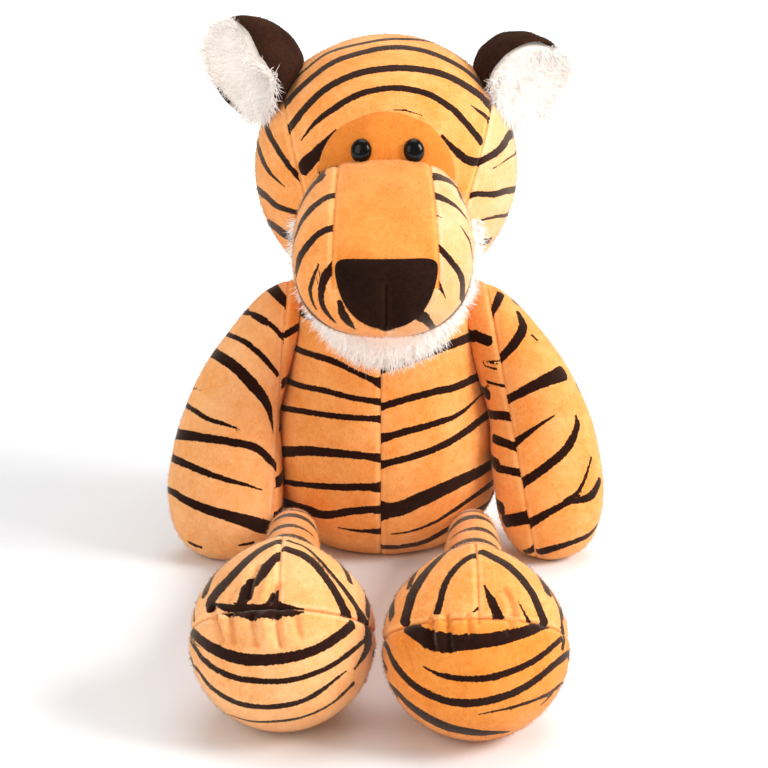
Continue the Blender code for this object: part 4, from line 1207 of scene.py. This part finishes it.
# %% The outer and inner panels
for side, sign in SIDES.items():
    top = np.array([sign * (SHOULDER_X + ARM_SEAM_OUT[side]), 0, SHOULDER_Z])
    low = np.array([sign * (HAND_X[side] - ARM_SEAM_SHARE[side] * HAND_HALF_WIDTH[side]), HAND_Y, 0])
    seams = [Seam(low, np.cross([0, 1, 0], top - low) * sign, depth=0.8 * MM)]
    form = arm_form(side)
    arm = sewn(form, (120, 110), seams, 0.5 * MM, 41 + sign, cap=1.2 * MM, press=press_arm)
    outer = seams[0].side(centres(*arm[:2])) > 0
    core = form(np.array([0.45, 0.45]), np.array([0, np.pi])).mean(axis=0)
    # the left arm's outer panel takes the paler copy: painted light
    cloth, body = {"left": pale_striped, "right": striped}[side], f"arm_{side}"
    cover(f"{body}_outer", arm, core, cloth, body, ARM_STRIPES[side], outer, inside=[f"{body}_stuffing"])
    cover(f"{body}_inner", arm, core, striped, body, ARM_STRIP[side], ~outer)

# %% [markdown]
# ## Feet
# The feet are balls of plastic pellets. Two panels meet in a seam over the instep, and a round toe and
# sole panel is gathered into them along a seam across the foot, which leaves short pleats below it.

# %% The feet's form, seams and pleats
FOOT_X = {"left": 0.041, "right": 0.0365}
FOOT_Y = {"left": -0.197, "right": -0.204}
FOOT_RADIUS, FOOT_PEAK = 0.0375, 4 * MM
FOOT_PEAK_ANGLE, FOOT_PEAK_TILT = np.radians(24), np.radians(20)
FOOT_SEAM_TILT = {"left": np.radians(41), "right": np.radians(40)}


def foot_centre(side):
    """The middle of the foot's ball."""
    return np.array([SIDES[side] * FOOT_X[side], FOOT_Y[side], FOOT_RADIUS - FLOOR_FLAT])


def foot_form(side):
    """centre + unit ball * (radius + peak * (1 - angle from the peak / 48 degrees)^2)."""
    peak = np.array([0, np.sin(FOOT_PEAK_TILT), np.cos(FOOT_PEAK_TILT)])

    def form(place, turn):
        units = unit_ball(place, turn)
        away = np.arccos(np.clip(units @ peak, -1, 1))
        rise = FOOT_PEAK * np.clip(1 - away / (2 * FOOT_PEAK_ANGLE), 0, 1) ** 2
        return foot_centre(side) + units * (FOOT_RADIUS + rise)[:, None]

    return form


def press_floor(points):
    """Not below the floor."""
    return np.maximum(points, [-np.inf, -np.inf, 0])


def fold(points, faces, skin, folds):
    """Moves points along their normals by height * exp(-(d / width)^2) beside each photographed fold."""
    out, lift = normals_of(points, faces), 0
    for height, width, seen in folds:
        line = skin.path(seen)
        gap = beside_path(points, out, line, np.zeros(len(line)), reach=2 * FAR)[:, 2]
        lift = lift + height * MM * np.exp(-((gap / (width * MM)) ** 2))
    return points + out * lift[:, None]


# height and width in mm, and pixels down the fold
FOLDS = {
    "left": [
        (-2.4, 1.4, ((213, 609), (216, 622), (221, 640))), (1.2, 2.0, ((221, 614), (225, 632))),
        (-2.2, 1.3, ((230, 615), (231, 630), (233, 642))), (-1.9, 1.3, ((252, 617), (253, 630), (256, 645))),
        (1.2, 2.0, ((264, 617), (266, 638))), (-2.2, 1.3, ((277, 617), (278, 632), (281, 646))),
        (-1.6, 1.3, ((296, 618), (300, 636))), (-1.9, 1.4, ((248, 597), (251, 580), (257, 566))),
        (1.2, 1.8, ((262, 598), (267, 582))), (-1.9, 1.3, ((272, 600), (277, 586))),
        (-1.5, 1.3, ((228, 600), (236, 588))),
    ],
    "right": [
        (-1.9, 1.4, ((431, 618), (431, 632), (433, 648))), (1.2, 2.0, ((439, 618), (440, 640))),
        (-1.9, 1.3, ((447, 616), (448, 632), (450, 650))), (-1.5, 1.3, ((468, 615), (469, 634))),
        (-1.6, 1.3, ((512, 617), (510, 632))), (-1.9, 1.4, ((516, 616), (511, 600), (506, 590))),
        (0.94, 1.8, ((506, 612), (500, 598))), (-1.2, 1.2, ((402, 640), (408, 655), (412, 668))),
    ],
}

# %% Their stripes
FOOT_STRIPES = {
    "left_outer": [
        ((3, 8, 9, 9, 3), ((213, 604), (230, 608), (255, 610), (281, 609), (301, 611))),
        ((4, 5, 6, 8, 9, 7), ((289, 541), (273, 543), (253, 555), (230, 578), (213, 597), (210, 606))),
        ((6, 8, 11, 11, 11), ((288, 553), (273, 560), (258, 578), (246, 595), (241, 604))),
        ((1, 6, 12), ((284, 583), (279, 593), (275, 604))),
        ((2, 5, 6), (), ((190, 0.6), (160, 0.64), (130, 0.66), (95, 0.66))),
        ((6, 6, 2), (), ((186, 0.7), (150, 0.74), (110, 0.77))),
    ],
    "left_toe": [
        ((3, 8, 9, 9, 3), ((213, 606), (230, 611), (255, 613), (281, 612), (301, 612))),
        ((8, 10, 12, 12, 11, 10, 10, 10), ((192, 632), (207, 645), (230, 656), (255, 660), (286, 658),
          (313, 651), (336, 638), (351, 626))),
        ((3, 5, 6, 6, 6, 5, 5, 4), ((191, 641), (205, 661), (230, 676), (260, 681), (291, 680), (321, 671),
          (346, 656), (366, 639))),
        ((3, 4, 5, 5, 5, 5, 3, 1), ((191, 660), (210, 686), (235, 702), (263, 707), (293, 704), (316, 694),
          (336, 679), (345, 672))),
        ((1, 2, 2.5, 2.5, 2, 3), ((222, 712), (250, 721), (281, 721), (306, 716), (331, 704), (352, 685))),
        ((4, 9, 6, 2), ((368, 622), (369, 638), (366, 651), (356, 667))),
        ((4, 7, 7, 6), (), ((196, 0.46), (165, 0.48), (130, 0.47), (95, 0.49))),
        ((5, 6, 1), (), ((190, 0.37), (150, 0.36), (115, 0.37))),
        ((4, 7, 7), (), ((-10, 0.47), (30, 0.48), (80, 0.47))),
        ((3, 6, 6), (), ((-14, 0.36), (30, 0.34), (85, 0.36))),
        ((2, 6, 5), (), ((180, 0.24), (130, 0.22), (60, 0.24), (0, 0.23))),
    ],
    "left_inner": [
        ((3, 8, 9, 9, 3), ((213, 604), (230, 608), (255, 610), (281, 609), (301, 611))),
        ((6, 7, 7, 8, 9), ((288, 549), (308, 558), (326, 578), (341, 603), (347, 624))),
        ((2, 2, 3, 5, 8), ((289, 541), (308, 549), (331, 573), (354, 603), (370, 634))),
        ((5, 6, 3), (), ((-8, 0.62), (30, 0.64), (84, 0.66))),
        ((4, 6, 6), (), ((0, 0.74), (40, 0.76), (84, 0.78))),
    ],
    "right_inner": [
        ((1.5, 3, 6, 9, 9), ((487, 541), (457, 545), (432, 565), (414, 590), (405, 618))),
        ((5, 5, 6, 7), ((487, 551), (465, 560), (447, 580), (438, 610))), ((2, 4), ((475, 611), (486, 601))),
        ((2, 3, 2), ((407, 575), (393, 598), (385, 622))),
        ((6, 6, 3), (), ((188, 0.64), (150, 0.65), (98, 0.66))),
        ((4, 6, 6), (), ((180, 0.75), (140, 0.76), (96, 0.77))),
    ],
    "right_toe": [
        ((7, 14, 17, 16, 14, 11, 8), ((401, 613), (412, 629), (432, 640), (460, 643), (495, 639),
          (525, 632), (548, 622))),
        ((1, 5, 7, 7, 6, 5), ((424, 667), (444, 676), (477, 679), (507, 673), (537, 659), (561, 639))),
        ((3, 6, 7, 8, 8, 7, 6), ((384, 640), (396, 666), (419, 689), (452, 702), (487, 701), (527, 686),
          (567, 654))), ((4, 8, 9, 7, 2), ((392, 687), (414, 709), (444, 726), (477, 733), (507, 732))),
        ((1, 3, 3, 3), ((481, 714), (517, 706), (548, 694), (565, 680))),
        ((2, 4, 3), ((380, 655), (386, 676), (396, 695))), ((1, 2), ((542, 704), (551, 695))),
        ((3, 3), ((560, 608), (564, 630), (563, 646))), ((6, 7, 6), (), ((-12, 0.5), (30, 0.5), (84, 0.49))),
        ((4, 7, 5), (), ((-14, 0.39), (30, 0.37), (84, 0.38))),
        ((4, 7, 7), (), ((196, 0.46), (150, 0.47), (98, 0.47))),
        ((3, 6, 6), (), ((194, 0.34), (150, 0.34), (96, 0.36))),
        ((5, 6, 2), (), ((0, 0.24), (60, 0.22), (130, 0.24), (180, 0.23))),
    ],
    "right_outer": [
        ((6, 7, 7, 8), ((485, 553), (510, 567), (532, 593), (544, 622))),
        ((1, 2, 3, 3, 3), ((485, 541), (510, 547), (537, 572), (558, 605), (563, 634))),
        ((2, 9, 10), ((485, 587), (492, 602), (498, 616))), ((1, 4), ((519, 603), (528, 621))),
        ((3, 6, 4), (), ((-8, 0.63), (34, 0.65), (82, 0.66))),
        ((6, 5, 2), (), ((-2, 0.73), (40, 0.76), (82, 0.77))),
    ],
}

# %% The three panels of each foot
for side, sign in SIDES.items():
    centre, tilt = foot_centre(side), FOOT_SEAM_TILT[side]
    toe_way = np.array([0, -np.sin(tilt), -np.cos(tilt)])
    toe_seam = Seam(centre - toe_way * 2 * MM, toe_way, depth=1.6 * MM)
    instep = Seam(centre, (sign, 0, 0), (centre, -toe_way), 0.9 * MM)
    form = foot_form(side)
    points, faces, near, skin = sewn(form, (270, 155), [toe_seam, instep], 0.5 * MM, 61 + sign)
    points = press_floor(fold(points, faces, skin, FOLDS[side]))
    foot = skin_of(form, points, faces, near)
    middle = centres(points, faces)
    toe, outer = toe_seam.side(middle) > 0, instep.side(middle) > 0
    below, above = {"left": (pale_striped, pale_striped), "right": (toe_striped, striped)}[side]
    panels = (("toe", below, toe), ("outer", above, ~toe & outer), ("inner", above, ~toe & ~outer))
    for part, cloth, chosen in panels:
        inside = [f"foot_{side}_pellets"] if part == "toe" else []
        stripes = FOOT_STRIPES[f"{side}_{part}"]
        cover(f"foot_{side}_{part}", foot, centre, cloth, f"leg_{side}", stripes, chosen, inside=inside)

# %% [markdown]
# ## Legs and tail
# The legs are soft sleeves from the hips to the feet, and the tail is a thin roll that lies behind the
# body. Both are stuffed loosely and ringed with stripes.

# %% The legs' form
HIP = np.array([0.757 * BODY_WIDTH, -0.5869 * BODY_DEPTH, 0.0185])
LEG_RADIUS, HIP_ROOT = 18.5 * MM, 0.8 * MM
LEG_ALONG = (0, 0.03, 0.07, 0.12, 0.18, 0.32, 0.46, 0.6, 0.74, 0.84, 0.88)
LEG_WIDTH = (0, 0.2, 0.38, 0.5, 0.6, 0.69, 0.78, 0.88, 0.96, 0.7, 0)


def leg_form(side):
    """Round rings on the line from the hip to the middle of the foot, radius by the table."""
    foot = foot_centre(side) * [SIDES[side], 1, 1]
    axis = unit(foot - HIP)
    across = unit(np.cross(axis, [0, 0, 1]))
    above = np.cross(across, axis)
    start = HIP - axis * HIP_ROOT

    def form(place, turn):
        radius = LEG_RADIUS * np.maximum(curve(place, LEG_WIDTH), 0)[:, None]
        points = start + (foot - start) * curve(place, LEG_ALONG)[:, None]
        points = points + radius * (across * np.cos(turn)[:, None] + above * np.sin(turn)[:, None])
        return points * [SIDES[side], 1, 1]

    return form


def press_leg(side):
    """Outside the foot's ball and on the floor."""
    return lambda points: press_floor(clear_of_ball(points, foot_centre(side), FOOT_RADIUS + GAP))


# rings: their place along the leg, the turns where each starts and ends, and its width in pixels
LEG_RINGS = (
    (0.36, 200, 20, 6), (0.44, 170, -40, 7), (0.52, 215, 40, 6), (0.6, 160, -10, 7), (0.68, 200, 10, 6),
    (0.76, 180, -20, 6),
)
for side, sign in SIDES.items():
    middle_foot, hip = foot_centre(side), HIP * [sign, 1, 1]
    along = middle_foot - hip
    seams = [Seam(hip, np.cross(np.cross(along, [0, 0, 1]), along), depth=0.7 * MM)]
    leg = sewn(leg_form(side), (90, 80), seams, 0.7 * MM, 71 + sign, cap=1.0 * MM, press=press_leg(side))
    upper = seams[0].side(centres(*leg[:2])) > 0
    core, body = (hip + middle_foot) / 2, f"leg_{side}"
    over, under = [], []
    for place, start, end, width in LEG_RINGS:
        ring = [(turn, place + 0.01 * np.sin(turn / 30)) for turn in np.linspace(start, end, 7)]
        over.append(((2, width, width, 2), (), ring))
        under.append(((2, width, 2), (), [(turn, place + 0.03) for turn in np.linspace(190, 340, 5)]))
    cover(f"{body}_upper", leg, core, striped, body, over, upper, inside=[f"{body}_stuffing"])
    cover(f"{body}_lower", leg, core, striped, body, under, ~upper)

# %% The tail
TAIL_Y, TAIL_Z, TAIL_RADIUS = 0.8784 * BODY_DEPTH, 11.5 * MM, 9.5 * MM
TAIL_LENGTH, TAIL_DRIFT = 0.118, 0.02
TAIL_ALONG = (0, 0.03, 0.08, 0.15, 0.3, 0.45, 0.6, 0.75, 0.88, 0.97, 1)
TAIL_WIDTH = (0, 0.35, 0.66, 0.88, 0.94, 0.97, 1, 1, 0.93, 0.6, 0)
TAIL_SINK = (0, 0, 0.2, 0.6, 1, 1, 1, 1, 1, 1, 1)


def tail_form(place, turn):
    """Upright rings on a line that drifts sideways by drift * along^2 and sinks to the floor."""
    along = curve(place, TAIL_ALONG)
    radius = TAIL_RADIUS * np.maximum(curve(place, TAIL_WIDTH), 0)
    sink = (TAIL_RADIUS - FLOOR_FLAT - TAIL_Z) * np.clip(curve(place, TAIL_SINK), 0, 1)
    x = TAIL_DRIFT * along**2 + radius * np.cos(turn)
    return np.stack([x, TAIL_Y + TAIL_LENGTH * along, TAIL_Z + sink - radius * np.sin(turn)], axis=1)


seams = [Seam((0, 0, TAIL_RADIUS - FLOOR_FLAT), (0, 0, 1), depth=0.6 * MM)]
tail = sewn(tail_form, (52, 96), seams, 0.4 * MM, 81, cap=0.6 * MM, press=press_floor)
upper = seams[0].side(centres(*tail[:2])) > 0
core = (0.002, TAIL_Y + TAIL_LENGTH / 2, TAIL_RADIUS - FLOOR_FLAT)
# each ring: its place, how far its ends lean, its width in pixels
TAIL_RINGS = (
    (0.3, 0.02, 8), (0.38, -0.01, 11), (0.47, 0.015, 8), (0.56, -0.01, 12), (0.65, 0.01, 9), (0.74, 0, 12),
    (0.84, 0, 10),
)
rings = [
    ((width, width), (), [(turn, place + lean * np.cos(np.radians(turn))) for turn in range(0, 361, 30)])
    for place, lean, width in TAIL_RINGS
]
cover("tail_upper", tail, core, striped, "tail", rings, upper, inside=["tail_stuffing"])
cover("tail_lower", tail, core, striped, "tail", rings, ~upper)

# %% [markdown]
# ## Long white fur
# The ear linings and the beard are long-pile fur. Pile of this length is too long for a bump, so every
# lock is real: a thin three-sided spike that bends, and leans towards the locks beside it.


# %% White fur, and locks rooted on a surface
white_fur, tree, place = new_material("white_long_pile_acrylic")
cast = mix(tree, noise(tree, place, 4 * MM, Detail=3.0), "FBF2EB", "FFFDFB")
# painted shade: darker towards the roots, where the locks shade each other; "tip" runs from 0 at the roots to
# 1, and the linings under the locks, which carry no "tip", take the dark root colour all over
shaded = mix(tree, ramp(tree, carried(tree, "tip"), 0.0, 0.7), "EADED5", cast)
# light that goes in among white fibres comes out again all over, which a little emission stands for
surface(tree, {
    "Base Color": shaded, "Roughness": 1.0, "Specular IOR Level": 0.05, "Sheen Weight": 0.3,
    "Sheen Tint": linear("FFFAF5"), "Emission Color": linear("FFF3EA"), "Emission Strength": 0.24,
})


LOCK_BEND = 0.35


def roots_on(points, faces, count, random):
    """Points and normals picked evenly over the triangles, each triangle by its area."""
    a, b, c = points[faces].transpose(1, 0, 2)
    area = np.cross(b - a, c - a)
    size = np.linalg.norm(area, axis=1)
    picked = random.choice(len(faces), count, p=size / size.sum())
    u, v = random.random((2, count, 1))
    over = u + v > 1
    u, v = np.where(over, 1 - u, u), np.where(over, 1 - v, v)
    spot = a[picked] + u * (b[picked] - a[picked]) + v * (c[picked] - a[picked])
    return spot, area[picked] / size[picked, None]


def locks(name, roots, out, ways, length, thick, random):
    """Spikes of white fur on the head: middle line root + way * s + bend * s^2, in 4 rings of 3 points and
    a tip, thinner by (1 - s)^0.6."""
    count = len(roots)
    leaders = roots[random.choice(count, max(2, count // 9))]
    gap = (roots**2).sum(1)[:, None] + (leaders**2).sum(1) - 2 * roots @ leaders.T
    pull = leaders[gap.argmin(axis=1)] - roots
    long = length * random.uniform(0.7, 1.2, (count, 1))
    ways = unit(ways + random.normal(0, 0.22, ways.shape))
    sway = random.normal(0, 1, ways.shape) * LOCK_BEND * long + pull * 0.7
    around = thirds(ways, random)
    s = np.array([0, 0.3, 0.6, 0.85])[:, None, None]
    line = roots + ways * long * s + sway * s**2
    rings = line[:, :, None] + (thick * (1 - s) ** 0.6)[..., None] * around
    tips = roots + ways * long + sway
    points = np.concatenate([rings.transpose(1, 0, 2, 3).reshape(count, 12, 3), tips[:, None]], axis=1)
    quad = [(r + k, r + (k + 1) % 3, r + 3 + (k + 1) % 3, r + 3 + k) for r in (0, 3, 6) for k in range(3)]
    one = [(a, b, c) for a, b, c, d in quad] + [(a, c, d) for a, b, c, d in quad]
    one += [(9 + k, 9 + (k + 1) % 3, 12) for k in range(3)] + [(0, 2, 1)]
    faces = (np.array(one)[None] + 13 * np.arange(count)[:, None, None]).reshape(-1, 3)
    # the fur is shaded as one soft surface, with a part of each lock's own roundness
    soft = np.concatenate([np.tile(out[:, None] + 0.45 * around, (1, 4, 1)), out[:, None]], axis=1)
    tip = np.tile(np.append(np.repeat(s.ravel(), 3), 1), count)
    soft = unit(soft.reshape(-1, 3))
    obj = mesh_object(name, points.reshape(-1, 3), faces, white_fur, {"tip": tip}, 180, soft)
    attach(obj, "head")
    print(name, count, "locks", len(faces), "triangles")


# %% [markdown]
# ## Ears
# An ear is a cup: dark brown plush outside, white fur inside that spills over its rim. It is sewn on
# the head slightly folded, with its mouth towards the front and outwards.

# %% The two cups and their fur
EAR_SIZE = {"left": np.array([24.5, 19.5, 36]) * MM, "right": np.array([23.5, 20.5, 36]) * MM}
EAR_RIM = {"left": (-0.0666, -0.005, 0.2252), "right": (0.0663, -0.006, 0.2204)}
EAR_FACES = {"left": (-0.714, -0.6825, -0.156), "right": (0.5, -0.8404, -0.2038)}
EAR_LONG = {"left": (0.472, -0.302, -0.83), "right": (-0.5, -0.088, -0.8616)}
EAR_FILL = 5 * MM  # depth of the mouth inside the lining's fur
EAR_LOCKS, CHIN_LOCKS = 7100, 6800
# a cut ear is no even cup: its rim's radius, as a share of the size above, at turns in degrees
EAR_TURNS = {
    "left": (0, 27, 57, 67, 79, 92, 103, 115, 131, 158, 188, 211, 238, 270, 300, 332),
    "right": (0, 21, 43, 63, 92, 116, 139, 156, 176, 196, 235, 248, 262, 274, 284, 304),
}
EAR_REACH = {
    "left": (0.98, 1.04, 1.38, 1.55, 1.3, 1.08, 1.12, 1.2, 1.16, 1.06, 1.02, 1.05, 0.98, 0.93, 0.9, 0.98),
    "right": (0.87, 0.94, 1.04, 1.05, 1, 1.04, 1.06, 1.02, 0.93, 0.9, 0.95, 0.98, 1.04, 1.14, 1.2, 0.96),
}
# turns of the rim's stretches where the dark back shows past the fur, and how wide each is
EAR_BARE = {"left": ((108, 34), (288, 30)), "right": ((230, 55),)}


def bare_rim(side, degrees):
    """1 on the bare stretches and 0 elsewhere: exp(-(turn from the stretch's middle / its width)^4)."""
    away = [((degrees - at + 180) % 360 - 180) / wide for at, wide in EAR_BARE[side]]
    return np.exp(-(np.array(away) ** 4)).max(axis=0)


def cup_form(side, outer, inner, floor, seed):
    """Out along one half ellipsoid from its pole to the rim, and back along a second one of depth floor."""
    ahead = unit(np.array(EAR_FACES[side]))
    long = unit(np.array(EAR_LONG[side]) - ahead * (np.array(EAR_LONG[side]) @ ahead))
    axes = np.array([long, unit(np.cross(ahead, long)), ahead])

    def form(place, turn):
        inside = np.clip((place - 0.48) / 0.04, 0, 1)[:, None]
        angle = np.where(place < 0.5, place, 1 - place) * np.pi
        back, front = EAR_SIZE[side] - outer, EAR_SIZE[side] - inner
        front[2] = floor
        ring = np.sin(angle)
        units = np.stack([ring * np.cos(turn), ring * np.sin(turn), -np.cos(angle)], axis=1)
        points = units * (back + (front - back) * inside)
        reach = np.interp(np.degrees(turn), EAR_TURNS[side], EAR_REACH[side], period=360)
        # where it is bare the back's rim also stands proud of the lining
        reach = reach + (0.11 * bare_rim(side, np.degrees(turn) % 360) - 0.04 if outer == 0 else 0)
        points[:, :2] *= 1 + (reach - 1)[:, None] * ring[:, None] ** 3
        wave = 0.03 * np.sin(3 * turn + seed) * ring**3 + 0.02 * np.sin(5 * turn + 2 * seed) * ring**4
        points[:, 2] += 1.6 * MM * np.sin(2 * turn + seed) * ring**6
        points = points * (1 + wave)[:, None] @ axes + EAR_RIM[side]
        return clear_of_ball(points, HEAD, HEAD_RADIUS + 0.2 * MM)

    return form, axes


for side, sign in SIDES.items():
    random = np.random.default_rng(7 + sign)
    form, axes = cup_form(side, 0, PLUSH, EAR_SIZE[side][2] - PLUSH, 1.0 + sign)
    points, faces = grid_of(form, 110, 120)
    points = points + normals_of(points, faces) * (ripple(points, 11 * MM, 90 + sign) * 0.35 * MM)[:, None]
    back = skin_of(form, points, faces)
    cover(f"ear_{side}_back", back, HEAD, dark, "head", slot="dark_plush", fill=0.3)
    form, _ = cup_form(side, PLUSH + GAP, PLUSH + GAP + 3 * MM, EAR_FILL, 1.0 + sign)
    points, faces = grid_of(form, 90, 100)
    lumps = ripple(points, 10 * MM, 95 + sign) * 0.9 + ripple(points, 4.5 * MM, 97 + sign) * 0.35
    ahead = axes[2]
    deep = (points - EAR_RIM[side]) @ ahead
    points = points + ahead * (lumps * MM * np.clip(1 + deep / (8 * MM), 0, 1))[:, None]
    lining = skin_of(form, points, faces)
    cover(f"ear_{side}_lining", lining, HEAD, white_fur, "head", slot="white_fur", fill=0.3)
    # locks grow in the mouth and lean out over the rim, but not where the dark back shows
    facing = normals_of(points, faces)[faces[:, 0]] @ ahead
    spots, out = roots_on(points, faces[facing > 0.05], EAR_LOCKS, random)
    flat = (spots - EAR_RIM[side]) @ axes[:2].T
    bare = bare_rim(side, np.degrees(np.arctan2(flat[:, 1], flat[:, 0])) % 360)[:, None]
    size = np.linalg.norm(flat, axis=1, keepdims=True)
    bare = bare * np.clip(size / (15 * MM), 0, 1) ** 2
    flat = flat / (8 * MM + size) @ axes[:2]
    ways = out * 0.3 + ahead * (0.6 - 0.5 * bare) + flat * (1.2 - 2.4 * bare)
    locks(f"ear_{side}_fur", spots, out, ways, 5 * MM, 0.17 * MM, random)

# %% [markdown]
# ## Beard
# The beard is a strip of the same white fur, sewn under the muzzle from cheek to cheek.

# %% The beard's roll and its locks
CHIN_END, CHIN_LOW = np.array([0.038, -0.041, 0.172]), np.array([0, -0.071, 0.119])
CHIN_RADIUS = 8 * MM


def chin_form(place, turn):
    """Rings on a bow: x = end * sin(b), y and z from the end to the low point by cos(b), b = -90 to 90."""
    bend = np.pi * (place - 0.5)
    drop = np.cos(bend)[:, None]
    line = CHIN_END * [0, 1, 1] + (CHIN_LOW - CHIN_END) * [0, 1, 1] * drop
    line[:, 0] = CHIN_END[0] * np.sin(bend)
    radius = CHIN_RADIUS * np.sqrt(np.sin(np.pi * place).clip(0))
    out = np.stack([np.sin(bend), 0 * bend, -np.cos(bend)], axis=1)
    points = line + out * (radius * np.cos(turn))[:, None]
    points[:, 1] += radius * np.sin(turn)
    return points + [HEAD[0], 0, 0]


random = np.random.default_rng(17)
points, faces = grid_of(chin_form, 60, 110)
chin = skin_of(chin_form, points, faces)
cover("chin_beard", chin, HEAD, white_fur, "head", slot="white_fur", fill=0.4)
out = normals_of(points, faces)[faces[:, 0]]
spots, out = roots_on(points, faces[out[:, 2] < 0.5], CHIN_LOCKS, random)
away = unit(spots - (HEAD + [0, -0.03, -0.01]))
ways = out * 0.6 + away * 0.8 + [0, 0, -0.35]
locks("beard_fur", spots, out, ways, 4.4 * MM, 0.2 * MM, random)

# %% [markdown]
# ## Size of the looks
# The box round all that is drawn, the sweep left out, is printed in millimetres. The looks
# may stand only a little proud of the CAD model.

# %% The box, and the end
low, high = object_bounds()
print("looks box", [round(v * 1000, 1) for v in (*low, *high)])
